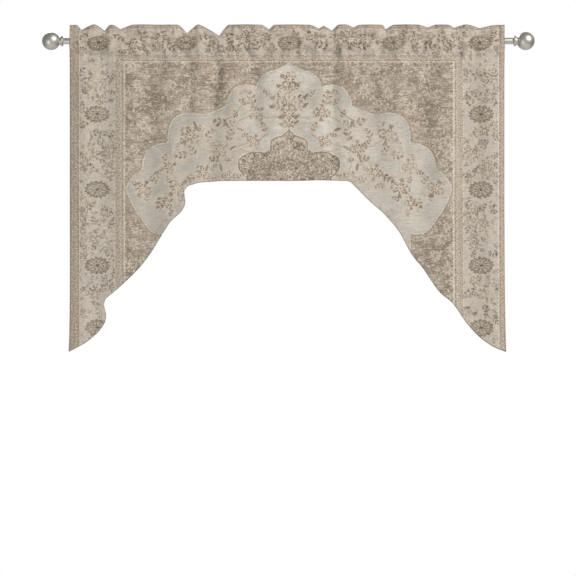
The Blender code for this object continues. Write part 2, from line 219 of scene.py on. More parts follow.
# Motifs on each half of the medallions, and up the tree in their middle: x, z, size, turn in degrees
MEDALLION_MOTIFS = {
    "bloom": (
        (276, -263, 50, 10), (336, -350, 36, 40), (408, -412, 42, 0), (311, -411, 46, 20),
        (240, -366, 38, 15), (192, -300, 40, 35), (100, -278, 32, 0), (91, -200, 40, 25),
        (340, -452, 30, 30), (171, -381, 32, 0), (0, -108, 44, 90), (0, -202, 44, 90), (0, -294, 26, 0),
        (0, -366, 46, 10), (84, -338, 34, 5), (118, -350, 30, 35),
    ),
    "spray": (
        (270, -306, 30, 60), (276, -384, 34, -30), (164, -262, 36, 100), (192, -228, 40, 20),
        (164, -232, 28, 150), (106, -160, 40, 80), (128, -170, 24, 30), (208, -328, 30, 10),
        (360, -450, 34, -60), (252, -404, 26, 200), (222, -258, 30, 120), (300, -318, 34, -10),
        (378, -388, 26, 45), (70, -240, 26, 60), (62, -146, 22, 40), (128, -142, 20, -20),
        (150, -204, 22, 70), (124, -262, 20, 160), (218, -284, 22, 40), (250, -244, 20, 110),
        (302, -280, 22, -40), (312, -304, 18, 80), (210, -352, 22, 130), (346, -324, 20, 120),
        (364, -366, 22, -10), (336, -388, 20, 70), (396, -436, 22, 100), (428, -398, 18, 30),
        (330, -478, 20, -80), (298, -440, 22, 160), (172, -330, 20, 200), (146, -376, 26, 170),
        (203, -388, 26, 20), (22, -290, 30, 20), (36, -308, 24, -20), (22, -346, 26, 40),
        (62, -316, 22, 120), (100, -372, 34, 60), (60, -372, 36, 110),
    ),
    "palmette": (
        (0, -142, 28, 90), (0, -172, 44, 90), (0, -233, 34, 90), (0, -270, 30, 90), (0, -326, 42, 90),
        (46, -338, 38, 60),
    ),
    "leaf": (
        (190, -352, 17, 75), (136, -246, 15, 20), (262, -232, 14, 60), (158, -298, 12, -40),
    ),
    "broad leaf": (
        (0, -262, 15, 90), (9, -270, 14, 45), (19, -283, 13, 150), (28, -290, 14, 25), (17, -296, 12, -40),
        (31, -302, 12, -20), (6, -282, 10, 70), (42, -296, 10, 100), (8, -306, 12, 20),
    ),
}
# Width of a leaf for its length
LEAF_WIDTHS = {"leaf": 0.3, "broad leaf": 0.42}

# Stems that join them: points through which each curve runs
MEDALLION_STEMS = (
    ((0, -206), (52, -214), (91, -200), (106, -160)), ((91, -200), (140, -224), (164, -262), (192, -300)),
    ((192, -300), (232, -292), (276, -263)),
    ((192, -300), (222, -338), (240, -366), (276, -384), (311, -411)),
    ((276, -384), (318, -372), (336, -350), (378, -372), (408, -412)),
    ((100, -278), (150, -296), (192, -300)), ((311, -411), (344, -438), (362, -480)),
    ((150, -322), (174, -338), (168, -364), (192, -380), (216, -370), (236, -394)),
    ((60, -258), (86, -280), (90, -302), (116, -308), (140, -300)),
    ((106, -160), (130, -176), (150, -204), (192, -228)),
)
STEM_WIDTH = 1.2
STEM_STEPS = 6

# Trunk of the tree in the middle
TREE_TOP = -108.0
TREE_FOOT = -246.0
TRUNK_WIDTH = 3.0
# Its sprigs on both sides: z, length, turn in degrees. A leaf hangs at each one's tip.
TREE_WINGS = ((-138, 30, 28), (-168, 46, 14), (-184, 44, 4), (-206, 24, -10), (-232, 20, 6))
WING_MIDDLE = 0.6
WING_TIP = 1.1
WING_SPRAY = 0.85
WING_LEAF = (9.0, 4.0)
WING_LEAF_ASIDE = 4.0
WING_LEAF_TURN = 0.5

# Darker clouds of the field: x, z, length, width, turn in degrees
FIELD_CLOUDS = (
    (211, -144, 68, 36, 90), (247, -96, 44, 28, 20), (434, -138, 54, 26, 0), (423, -303, 90, 42, 90),
    (306, -192, 60, 30, 10), (-289, -70, 74, 26, 0), (-196, -135, 74, 32, 100), (-358, -177, 56, 42, 0),
    (-428, -303, 62, 50, 60),
)

# Border rosettes; those of the top have a shadow aside
SIDE_ROSETTES = (-204.0, -414.0, -626.0, -800.0)
TOP_ROSETTES = (-531.0, -288.0, 0.0, 290.0, 531.0)
ROSETTE_WIDTH = 73.0
ROSETTE_HEIGHT = 50.0
TOP_ROSETTE_WIDTH = 68.0
TOP_ROSETTE_HEIGHT = 46.0
TOP_ROSETTE_DROP = 5.0
TOP_ROSETTE_TURN = 0.1
SHADOW_ASIDE = 5.0
SHADOW_UP = 2.0
SHADOW_TURN = 0.3

# Larger motifs of the top border: kind, x, z from its middle, size
TOP_MOTIFS = (
    ("spray", -572, 16, 32), ("spray", -474, 12, 34), ("bloom", -436, -14, 38), ("spray", -404, 12, 36),
    ("bloom", -358, 6, 44), ("spray", -330, -16, 30), ("spray", -236, 14, 36), ("bloom", -204, -14, 34),
    ("spray", -164, 12, 38), ("bloom", -128, 2, 40), ("spray", -92, -12, 34), ("spray", -60, 14, 32),
    ("spray", 56, 14, 34), ("spray", 92, -12, 36), ("spray", 130, 14, 32), ("bloom", 172, 4, 50),
    ("spray", 206, -14, 34), ("spray", 240, 12, 34), ("bloom", 352, 10, 36), ("spray", 390, -12, 36),
    ("spray", 424, 12, 38), ("bloom", 466, -4, 36),
)

# Loose motifs of the border: where they start and end, their lanes, their distance from the others,
# and the chances below which one is a bloom, a spray or a pair of leaves
SIDE_LOOSE = (-92.0, -840.0)
TOP_LOOSE = (-575.0, 580.0)
SIDE_LANES = (-38.0, -15.0, 12.0, 37.0)
TOP_LANES = (-24.0, -3.0, 20.0)
LOOSE_STEP = 23.0
LOOSE_CLEARANCE = 0.66
BLOOM_CLEARANCE = 21.0
LOOSE_BLOOMS = 0.16
LOOSE_SPRAYS = 0.6
LOOSE_LEAVES = 0.78
LOOSE_SIZES = (0.8, 1.25)
LOOSE_ASIDE = 7
LOOSE_UP = 8

# Limits of what the points carry: depth in an ink and in a medallion, distance from an edge, and
# from a motif's middle in its own size
DEEPEST = 16.0
FARTHEST_INSIDE = 40.0
FARTHEST_OUT = 60.0
FAR_OUT = 2.0
INKS = ("mid", "dark", "cloud")
MOTIFS = ("bloom", "spray", "rosette", "palmette")
SPOT_RANDOMNESS = 0.85

# Stitching and weave
STITCH = 3.2
STITCH_GAP = 1.2
THREAD_HALF = 0.45
HEM_WIDTH = 13.0
UPPER_STITCHES = 17.5
HEM_GROOVE = (11.8, 14.2)
WARP_SPACING = 0.62
WEFT_SPACING = 0.58
# Heights of the relief, in metres
CRUMPLE_HEIGHT = 0.019
PUCKER_HEIGHT = 0.0035
STITCH_HEIGHT = 0.0006
WEAVE_HEIGHT = 0.00025
MARK_HEIGHT = 0.00002


def srgb(red, green, blue):
    """A colour given as 0 to 255 on a screen, as Blender's linear colour."""
    return tuple(((v / 255 + 0.055) / 1.055) ** 2.4 for v in (red, green, blue)) + (1.0,)


MEDALLION_GROUND = srgb(212, 206, 196)
MEDALLION_SHADE = srgb(170, 163, 152)
MEDALLION_WARM = srgb(200, 187, 171)
FIELD_GROUND = srgb(170, 155, 138)
FIELD_DEEP = srgb(126, 111, 95)
FIELD_PALE = srgb(208, 195, 177)
FIELD_WARM = srgb(168, 144, 124)
FIELD_OLIVE = srgb(146, 135, 114)
BORDER_GROUND = srgb(197, 186, 172)
BORDER_SHADE = srgb(181, 168, 153)
BORDER_COOL = srgb(184, 177, 168)
GUARD_GROUND = srgb(175, 157, 140)
INNER_GUARD = srgb(184, 170, 152)
GUARD_DEEP = srgb(132, 116, 98)
INNER_GROUND = srgb(144, 128, 111)
CREAM = srgb(224, 213, 196)
MOTIF_PALE = srgb(206, 189, 169)
MOTIF_BROWN = srgb(118, 102, 82)
CORE_INK = srgb(76, 64, 52)
DARK_INK = srgb(88, 75, 61)
MID_INK = srgb(140, 125, 106)
REVERSE_GROUND = srgb(212, 205, 194)
RUBBED = srgb(206, 199, 188)
GRAIN_DARK = srgb(120, 107, 91)
GRAIN_PALE = srgb(228, 219, 206)
# Painted shade along the hem, the side edges and the heading's crest, where the cloth turns over
PAINTED_EDGE_SHADE = srgb(104, 90, 75)
THREAD = srgb(205, 196, 182)
NICKEL = srgb(202, 199, 191)
NICKEL_SHADE = srgb(190, 187, 178)
FLOOR_PALE = srgb(240, 240, 239)
FLOOR_SHADE = srgb(235, 235, 234)

# Guard stripes and the lines beside them: from, to (mm out from the field), colour, strength
GUARDS = ((7.0, 27.0, INNER_GUARD), (131.0, 400.0, GUARD_GROUND))
GUARD_LINES = (
    (0.4, 5.6, CREAM, 0.85), (6.0, 8.2, GUARD_DEEP, 0.8), (12.0, 13.6, CREAM, 0.5),
    (20.6, 22.0, GUARD_DEEP, 0.5), (25.8, 27.4, GUARD_DEEP, 0.6), (28.2, 30.4, CREAM, 0.55),
    (127.0, 129.4, CREAM, 0.7), (130.2, 132.4, GUARD_DEEP, 0.8), (137.0, 138.4, CREAM, 0.3),
    (143.0, 145.4, GUARD_DEEP, 0.6),
)
CHECK_LENGTH = 12.0
CHECK_HEIGHT = 10.5
INK_SPREAD = 1.1
INK_COLOURS = (("mid", MID_INK, 0.6), ("dark", DARK_INK, 0.85))

# Studio, in metres
CAMERA_SENSOR = 36.0
CAMERA_LENS = 134.5
CAMERA_PLACE = (-0.001, -6.0, -0.6886)
WORLD_SEEN = 1.0
WORLD_LIGHT = 0.29
FLOOR_RADIUS = 3.2
FLOOR_HEIGHT = -2.1
LIGHT_TARGET = (0.0, 0.0, -0.35)
# Name, place, size, power in watts, colour
LIGHTS = (
    ("Key", (4.2, -4.4, 3.2), 1.9, 395.0, (1.0, 0.985, 0.965)),
    ("Fill", (-2.8, -4.2, -1.7), 2.4, 60.0, (0.97, 0.985, 1.0)),
    ("Back", (-1.2, 3.6, 1.6), 2.0, 110.0, (1.0, 1.0, 1.0)),
)


# Shape of the cloth


def smooth_step(value):
    held = np.clip(value, 0.0, 1.0)
    return held * held * (3.0 - 2.0 * held)


def round_bump(offset):
    """1 at 0, falling to 0 at -1 and 1 like half a wave."""
    return 0.5 * (1.0 + np.cos(math.pi * np.clip(offset, -1.0, 1.0)))


def through_points(keys, values, at):
    """A smooth curve through a table's points, read at the given keys."""
    keys = np.asarray(keys, float)
    values = np.asarray(values, float)
    slopes = np.gradient(values, keys)
    place = np.clip(np.searchsorted(keys, at, side="right") - 1, 0, len(keys) - 2)
    width = keys[place + 1] - keys[place]
    share = (at - keys[place]) / width
    level = values[place] + (values[place + 1] - values[place]) * share**2 * (3 - 2 * share)
    leaving = slopes[place] * width * share * (1 - share) ** 2
    arriving = slopes[place + 1] * width * share**2 * (share - 1)
    return level + leaving + arriving


def from_line(x, z, start, end):
    """Distance of points from the straight line between two places."""
    (x0, z0), (x1, z1) = start, end
    run, fall = x1 - x0, z1 - z0
    share = np.clip(((x - x0) * run + (z - z0) * fall) / max(run**2 + fall**2, 1e-6), 0.0, 1.0)
    return np.hypot(x - x0 - run * share, z - z0 - fall * share)


def from_path(x, z, path):
    """Distance of points from a line through several places."""
    nearest = np.full(x.shape, 1e6)
    for start, end in zip(path, path[1:]):
        nearest = np.minimum(nearest, from_line(x, z, start, end))
    return nearest


def heading_drop(x):
    drop = np.zeros_like(x)
    for centre, depth, left, right in HEADING_DIPS:
        reach = np.where(x < centre, left, right)
        pinch = np.clip(1.0 - np.abs(x - centre) / reach, 0.0, 1.0) ** HEADING_PINCH
        drop = np.maximum(drop, depth * pinch)
    return drop


def heading_line(x):
    """The middle line of the heading's two layers: y and z, from the upper seam to the top."""
    full = HEADING_TOP - UPPER_SEAM
    wanted = np.maximum((full - heading_drop(x)) / full, HEADING_LEAST)
    share = np.linspace(0.0, 1.0, HEADING_SAMPLES)
    most = HEADING_TURN * (1.0 - wanted[:, None]) ** HEADING_TURN_GROWTH
    turn = most * share[None, :] ** HEADING_TURN_POWER
    step = 1.0 / (HEADING_SAMPLES - 1)
    start = np.zeros((len(x), 1))
    up = np.concatenate([start, np.cumsum(np.cos(turn[:, 1:]) * step, axis=1)], axis=1)
    back = np.concatenate([start, np.cumsum(np.sin(turn[:, 1:]) * step, axis=1)], axis=1)
    scale = full * wanted / up.max(axis=1)
    sways = sum(sway * round_bump((x - centre) / half) for centre, sway, half in HEADING_SWAYS)
    sway = sways[:, None] * share[None, :] ** HEADING_SWAY_POWER
    return back * scale[:, None] - sway, UPPER_SEAM + up * scale[:, None]


def fold_depth(x, z):
    """y of the hanging cloth, with its folds, rolled edges and swung tails."""
    y = np.zeros_like(x)
    for at_rod, at_foot, top, foot, half, height in FOLDS:
        down = np.clip((top - z) / (top - foot), 0.0, FOLD_PAST_FOOT)
        centre = at_rod + (at_foot - at_rod) * down
        strength = smooth_step((top - z) / FOLD_RISE) * (1.0 - FOLD_FADE * smooth_step(down))
        reach = half * (1.0 + FOLD_WIDENING * down)
        y -= height * strength * round_bump((x - centre) / reach)
    for edge in (LEFT_EDGE, RIGHT_EDGE):
        y += EDGE_ROLL * np.exp(-np.abs(x - edge) / EDGE_ROLL_REACH)
    low = smooth_step((TAIL_START - z) / TAIL_LENGTH)
    return y + low * np.where(x < 0.0, LEFT_TAIL_SWING, RIGHT_TAIL_SWING)


def crease_depth(x, z):
    """How far the soft creases push the cloth to the back."""
    pushed = np.zeros_like(x)
    for x0, z0, x1, z1, bow, width, depth in CREASES:
        run, fall = x1 - x0, z1 - z0
        length = math.hypot(run, fall)
        share = ((x - x0) * run + (z - z0) * fall) / length**2
        side = bow * np.sin(math.pi * np.clip(share, 0.0, 1.0))
        across = np.abs(((z - z0) * run - (x - x0) * fall) / length - side)
        fade = round_bump(np.abs(share - 0.5) * 2.0 - CREASE_FADE)
        fade = np.where(np.abs(share - 0.5) * 2.0 < CREASE_FADE, 1.0, fade)
        trough = np.exp(-((across / width) ** 2))
        shoulders = CREASE_SHOULDER * np.exp(-((across / width - CREASE_SHOULDER_PLACE) ** 2))
        pushed += depth * fade * (trough - shoulders)
    return pushed


def pocket_side(x, side):
    """Rows of the pocket's front (side 0) or back (side 1), from its lower seam up: y, z and flat z."""
    sign = -1.0 if side == 0 else 1.0
    straight = POCKET_ROWS if side == 0 else BACK_ROWS
    turns = ARC_ROWS if side == 0 else BACK_ROWS
    low_y = fold_depth(x, np.full_like(x, POCKET_BOTTOM))
    bulge = sum(row[1 + side] * round_bump((x - row[0]) / row[3]) for row in POCKET_BULGES)
    half_gap = LAYERS_APART / 2
    leaves_rod = POCKET_RADIUS * math.cos(POCKET_FIRST_TURN)
    widest = POCKET_RADIUS * math.sin(POCKET_FIRST_TURN)
    fall = math.hypot(leaves_rod - POCKET_BOTTOM, widest - half_gap)
    shares, weights = zip(*BULGE_WEIGHTS)
    rows = []
    for down in np.linspace(1.0, 0.0, straight + 1)[1:]:
        weight = through_points(shares, weights, down)
        open_half = half_gap + (widest - half_gap) * (1.0 - down) ** POCKET_CLOSING
        z = leaves_rod + (POCKET_BOTTOM - leaves_rod) * down
        y = low_y * down + sign * (open_half + bulge * weight)
        rows.append((y, np.full_like(x, z), POCKET_BOTTOM + fall * (1.0 - down)))
    for angle in np.linspace(POCKET_FIRST_TURN, POCKET_LAST_TURN, turns)[1:]:
        loose = bulge * weights[0] * smooth_step(angle / POCKET_FIRST_TURN)
        out = POCKET_RADIUS * math.sin(angle)
        z = POCKET_RADIUS * math.cos(angle)
        flat = POCKET_BOTTOM + fall + POCKET_RADIUS * (POCKET_FIRST_TURN - angle)
        rows.append((sign * (out + loose), np.full_like(x, z), flat))
    return rows


def grid_normals(points):
    """Unit normals of a grid of points, to the printed side."""
    across, up = np.gradient(points, axis=1), np.gradient(points, axis=0)
    normal = np.cross(across, up)
    return normal / np.linalg.norm(normal, axis=2, keepdims=True)


def heading_side(x, side):
    """Rows of the heading's front (side 0) or back (side 1), from the upper seam to the top fold."""
    sign = -1.0 if side == 0 else 1.0
    count = HEADING_ROWS if side == 0 else BACK_ROWS
    line_y, line_z = heading_line(x)
    shares = np.sin(np.linspace(0.0, math.pi / 2, count + 1)) ** ROWS_TOWARD_TOP
    kept = np.round(shares * (HEADING_SAMPLES - 1)).astype(int)
    y, z = line_y[:, kept].T, line_z[:, kept].T
    middle = np.stack([np.broadcast_to(x, y.shape), y, z], axis=2)
    half = LAYERS_APART / 2 * np.sqrt(np.clip(1.0 - shares**TOP_ROUNDING, 0.0, 1.0))
    points = middle - grid_normals(middle) * half[:, None, None] * sign
    return [(*row.T, share) for row, share in zip(points, shares)]


def hem_at(x):
    """Where the threads that leave the rod at x reach the hem."""
    keys, hem_x, hem_z = np.array(HEM, float).T
    return through_points(keys, hem_x, x), through_points(keys, hem_z, x)


def body_rows(x):
    """Rows from the hem up to the lower seam: x, y, z and flat z."""
    foot_x, foot_z = hem_at(x)
    rows = []
    for down in np.linspace(1.0, 0.0, BODY_ROWS):
        row_x = x + (foot_x - x) * down**HEM_PULL
        row_z = POCKET_BOTTOM + (foot_z - POCKET_BOTTOM) * down
        front = -LAYERS_APART / 2 * (1.0 - smooth_step(down * SEAM_BLEND))
        rows.append((row_x, fold_depth(row_x, row_z) + front + crease_depth(row_x, row_z), row_z, row_z))
    return rows


def front_rows(x):
    """Rows of the pocket's front, creased where it hangs loose and clear of the rod."""
    rows = []
    for y, z, flat in pocket_side(x, 0):
        creased = y + crease_depth(x, z) * smooth_step((UPPER_SEAM - z) / POCKET_CREASE_FADE)
        clear = -np.sqrt(np.maximum(ROD_CLEARANCE**2 - z**2, 0.0))
        rows.append((x, np.minimum(creased, clear), z, flat))
    return rows


def heading_rows(x, seam):
    """Rows of the heading: up its front, over the crest and down its back."""
    full = HEADING_TOP - UPPER_SEAM
    rows = []
    for row_x, y, z, share in heading_side(x, 0):
        soft = smooth_step(share * 4.0) * smooth_step((1.0 - share) * 5.0) * HEADING_CREASE
        crease = crease_depth(row_x, np.full_like(x, UPPER_SEAM + full * share))
        rows.append((row_x, y + crease * soft, z, seam + full * share))
    for row_x, y, z, share in heading_side(x, 1)[::-1][1:]:
        rows.append((row_x, y, z, seam + full * (2.0 - share)))
    return rows


def back_rows(x, seam):
    """Rows of the pocket's back, down to the lower seam."""
    rows = pocket_side(x, 1)[::-1]
    start = seam + rows[0][2] + BACK_SEAM_STEP
    low = np.full_like(x, POCKET_BOTTOM)
    last = (x, fold_depth(x, low) + LAYERS_APART / 2, low, seam + BACK_LENGTH)
    return [(x, y, z, start - flat) for y, z, flat in rows] + [last]


def cloth_grid():
    """The sheet's points from the hem up, over and down the back, their flat places and the crest's."""
    x = np.linspace(LEFT_EDGE, RIGHT_EDGE, COLUMNS)
    rows = body_rows(x) + front_rows(x)
    seam = rows[-1][3] + SEAM_STEP
    crest = seam + HEADING_TOP - UPPER_SEAM
    rows += heading_rows(x, seam) + back_rows(x, crest + HEADING_TOP - UPPER_SEAM)
    points = np.array([np.stack(row[:3], axis=1) for row in rows])
    flats = np.array([np.stack([row[0], np.broadcast_to(row[3], x.shape)], axis=1) for row in rows])
    return points, flats, crest


# Drawing of the print


class Print:
    """The print at each point of the cloth: its depth in each ink and its place in the nearest motifs."""

    def __init__(self, x, z):
        self.x, self.z = x, z
        self.depth = {ink: np.full(x.shape, -DEEPEST) for ink in INKS}
        self.clear = np.full(x.shape, FARTHEST_OUT)
        self.halo = np.full(x.shape, -DEEPEST)
        self.motifs = {kind: np.tile((0.0, 0.0, FAR_OUT), (len(x), 1)) for kind in MOTIFS}

    def near(self, x, z, reach):
        reach += DEEPEST
        return np.nonzero((np.abs(self.x - x) < reach) & (np.abs(self.z - z) < reach))[0]

    def around(self, x, z, turn, reach):
        """The points near a place, and how far along and across they lie from it when it is turned."""
        at = self.near(x, z, reach)
        dx, dz = self.x[at] - x, self.z[at] - z
        return at, dx * math.cos(turn) + dz * math.sin(turn), dz * math.cos(turn) - dx * math.sin(turn)

    def lay(self, ink, where, depth):
        self.depth[ink][where] = np.maximum(self.depth[ink][where], depth)

    def motif(self, kind, x, z, wide, turn=0.0, high=None):
        """Marks the points round a motif with their place in it, in its own size: along, across, outward."""
        high = high or wide
        at, along, across = self.around(x, z, turn, max(wide, high) * 0.7)
        out = np.hypot(along / wide, across / high)
        nearer = out < self.motifs[kind][at, 2]
        place = np.stack([along / wide, across / high, out], axis=1)
        self.motifs[kind][at[nearer]] = place[nearer]
        self.halo[at] = np.maximum(self.halo[at], (0.5 - out) * min(wide, high))

    def petal(self, ink, x, z, length, width, turn):
        """An oval, its middle at x, z and its length along turn (radians from +X)."""
        at, along, across = self.around(x, z, turn, max(length, width) / 2)
        out = np.hypot(2.0 * along / length, 2.0 * across / width)
        self.lay(ink, at, (1.0 - out) * min(length, width) / 2)

    def stroke(self, ink, points, width):
        for start, end in zip(points, points[1:]):
            x, z = (start[0] + end[0]) / 2, (start[1] + end[1]) / 2
            at = self.near(x, z, math.dist(start, end) / 2 + width)
            self.lay(ink, at, width / 2 - from_line(self.x[at], self.z[at], start, end))


def curved(points):
    """More points on a smooth curve through a few."""
    last = len(points) - 1
    at = np.linspace(0.0, last, last * STEM_STEPS + 1)
    xs, zs = [through_points(range(last + 1), values, at) for values in zip(*points)]
    return list(zip(xs, zs))


def halves(x, degrees):
    """Where a motif at x stands in each half of the print, and its turn there; one at 0 stands once."""
    turn = math.radians(degrees)
    right = (PRINT_CENTRE + x, turn)
    return ((PRINT_CENTRE - x, math.pi - turn), right) if x else (right,)


def draw_motifs(art):
    """The motifs of both medallions and the stems that join them."""
    for kind, places in MEDALLION_MOTIFS.items():
        for x, z, size, degrees in places:
            for at, turn in halves(x, degrees):
                if kind in LEAF_WIDTHS:
                    art.petal("dark", at, z, size, size * LEAF_WIDTHS[kind], turn)
                else:
                    art.motif(kind, at, z, size, turn)
    for stem in MEDALLION_STEMS:
        for side in (-1, 1):
            art.stroke("mid", curved([(PRINT_CENTRE + side * x, z) for x, z in stem]), STEM_WIDTH)


def draw_tree(art):
    """The trunk in the middle of the medallion and the sprigs on both its sides, each with a leaf."""
    art.stroke("mid", [(PRINT_CENTRE, TREE_TOP), (PRINT_CENTRE, TREE_FOOT)], TRUNK_WIDTH)
    for z, reach, degrees in TREE_WINGS:
        for side in (-1, 1):
            turn = math.radians(degrees) if side > 0 else math.pi - math.radians(degrees)
            run, rise = math.cos(turn), math.sin(turn)
            middle, tip = reach * WING_MIDDLE, reach * WING_TIP
            art.motif("spray", PRINT_CENTRE + middle * run, z + middle * rise, reach * WING_SPRAY, turn)
            leaf_x = PRINT_CENTRE + tip * run - WING_LEAF_ASIDE * rise
            leaf_z = z + tip * rise + WING_LEAF_ASIDE * run
            art.petal("dark", leaf_x, leaf_z, *WING_LEAF, turn + side * WING_LEAF_TURN)


def draw_rosettes(art):
    """Rosettes down both sides and along the top; returns where they are."""
    spots = [(PRINT_CENTRE + side * BORDER_X, z) for side in (-1, 1) for z in SIDE_ROSETTES]
    for x, z in spots:
        art.motif("rosette", x, z, ROSETTE_WIDTH, 0.0, ROSETTE_HEIGHT)
    for x in TOP_ROSETTES:
        x, z = PRINT_CENTRE + x, BORDER_Z - TOP_ROSETTE_DROP
        shadow = (x + SHADOW_ASIDE, z + SHADOW_UP, TOP_ROSETTE_WIDTH, TOP_ROSETTE_HEIGHT, SHADOW_TURN)
        art.petal("mid", *shadow)
        art.motif("rosette", x, z, TOP_ROSETTE_WIDTH, TOP_ROSETTE_TURN, TOP_ROSETTE_HEIGHT)
        spots.append((x, z))
    for x, z in spots:
        out = np.hypot((art.x - x) / ROSETTE_WIDTH, (art.z - z) / ROSETTE_HEIGHT) - 0.5
        art.clear = np.minimum(art.clear, out * ROSETTE_HEIGHT)
    return spots


def draw_border(art, chance):
    """The border's rosettes and larger motifs, with loose flowers and leaves between them."""
    rosettes = draw_rosettes(art)
    large = [(PRINT_CENTRE + x, BORDER_Z + up) for _, x, up, _ in TOP_MOTIFS]
    for (kind, _, _, size), (x, z) in zip(TOP_MOTIFS, large):
        art.motif(kind, x, z, size, chance.uniform(0, 2 * math.pi))
    loose = []
    for side in (-1, 1):
        for z in np.arange(*SIDE_LOOSE, -LOOSE_STEP):
            loose += [(PRINT_CENTRE + side * (BORDER_X + lane), z) for lane in SIDE_LANES]
    for x in np.arange(*TOP_LOOSE, LOOSE_STEP):
        loose += [(PRINT_CENTRE + x, BORDER_Z + lane) for lane in TOP_LANES]
    for x, z in loose:
        x += chance.uniform(-LOOSE_ASIDE, LOOSE_ASIDE)
        z += chance.uniform(-LOOSE_UP, LOOSE_UP)
        turn = chance.uniform(0, 2 * math.pi)
        pick, size = chance.uniform(), chance.uniform(*LOOSE_SIZES)
        shares = [((x - rx) / ROSETTE_WIDTH, (z - rz) / ROSETTE_HEIGHT) for rx, rz in rosettes]
        off_rosettes = min(math.hypot(*share) for share in shares)
        off_large = min(math.dist((x, z), place) for place in large)
        if off_rosettes > LOOSE_CLEARANCE and off_large > BLOOM_CLEARANCE:
            draw_loose(art, x, z, size, turn, pick)


def draw_loose(art, x, z, size, turn, pick):
    """One small motif of the crowded border, or none."""
    if pick < LOOSE_BLOOMS:
        art.motif("bloom", x, z, 24.0 * size, turn)
    elif pick < LOOSE_SPRAYS:
        art.motif("spray", x, z, 23.0 * size, turn)
    elif pick < LOOSE_LEAVES:
        art.petal("dark", x, z, 11.0 * size, 4.5 * size, turn)
        art.petal("mid", x + 6.0, z + 4.0, 8.0 * size, 3.5 * size, turn + 1.0)


def arc_outline(half):
    """A closed outline from half of one: its arcs sampled, then mirrored about the print's middle."""
    points = []
    for (x0, z0, bow), (x1, z1, _) in zip(half, half[1:]):
        run, fall = x1 - x0, z1 - z0
        for k in range(ARC_POINTS):
            share = k / ARC_POINTS
            side = bow * 4.0 * share * (1.0 - share)
            points.append((x0 + run * share - fall * side, z0 + fall * share + run * side))
    points.append(half[-1][:2])
    mirrored = [(-x, z) for x, z in points[::-1] if x > 0.01]
    return [(PRINT_CENTRE + x, z) for x, z in points + mirrored]


def depth_inside(half, x, z):
    """Distance to a mirrored outline, above 0 inside it."""
    outline = arc_outline(half)
    outline.append(outline[0])
    inside = np.zeros(x.shape, bool)
    for (x0, z0), (x1, z1) in zip(outline, outline[1:]):
        if z0 != z1:
            inside ^= ((z0 > z) != (z1 > z)) & (x < x0 + (x1 - x0) * (z - z0) / (z1 - z0))
    nearest = np.minimum(from_path(x, z, outline), FARTHEST_INSIDE)
    return np.where(inside, nearest, -nearest)


def edge_distance(x, z):
    """Distance of each point from the hem or a side edge."""
    hem = list(zip(*hem_at(np.linspace(LEFT_EDGE, RIGHT_EDGE, HEM_SAMPLES))))
    from_sides = np.minimum(x - x.min(), x.max() - x)
    return np.minimum(np.minimum(from_sides, FARTHEST_OUT), from_path(x, z, hem))


def print_layers(flat, crest):
    """Everything that the cloth's material reads, at each point."""
    x, z = flat.T
    art = Print(x, z)
    draw_motifs(art)
    draw_tree(art)
    for cloud_x, cloud_z, length, width, degrees in FIELD_CLOUDS:
        art.petal("cloud", cloud_x, cloud_z, length, width, math.radians(degrees))
    draw_border(art, np.random.default_rng(7))
    sideways = np.abs(x - PRINT_CENTRE) - FIELD_HALF
    upward = (z - FIELD_TOP) * TOP_BORDER_SQUEEZE
    inks = {"ink_" + ink: np.clip(depth, -DEEPEST, DEEPEST) for ink, depth in art.depth.items()}
    return {
        **inks,
        **art.motifs,
        "medallion": depth_inside(MEDALLION, x, z),
        "inner": depth_inside(INNER_MEDALLION, x, z),
        "clear": art.clear,
        "halo": np.maximum(art.halo, np.maximum(inks["ink_mid"], inks["ink_dark"])),
        "outward": np.maximum(sideways, upward),
        "along": np.where(upward > sideways, x, z),
        "edge": edge_distance(x, z),
        "crest": np.abs(z - crest),
        "warp": x,
        "weft": z,
        "flat": np.stack([x, z, np.zeros(len(x))], axis=1),
    }


# Materials


class Value:
    """A number that a shader works out at each point, for ordinary sums."""

    def __init__(self, nodes, socket):
        self.nodes, self.socket = nodes, socket

    def __add__(self, other):
        return self.nodes.math("ADD", self, other)

    def __sub__(self, other):
        return self.nodes.math("SUBTRACT", self, other)

    def __rsub__(self, other):
        return self.nodes.math("SUBTRACT", other, self)

    def __mul__(self, other):
        return self.nodes.math("MULTIPLY", self, other)

    def __truediv__(self, other):
        return self.nodes.math("DIVIDE", self, other)

    def __abs__(self):
        return self.nodes.math("ABSOLUTE", self)


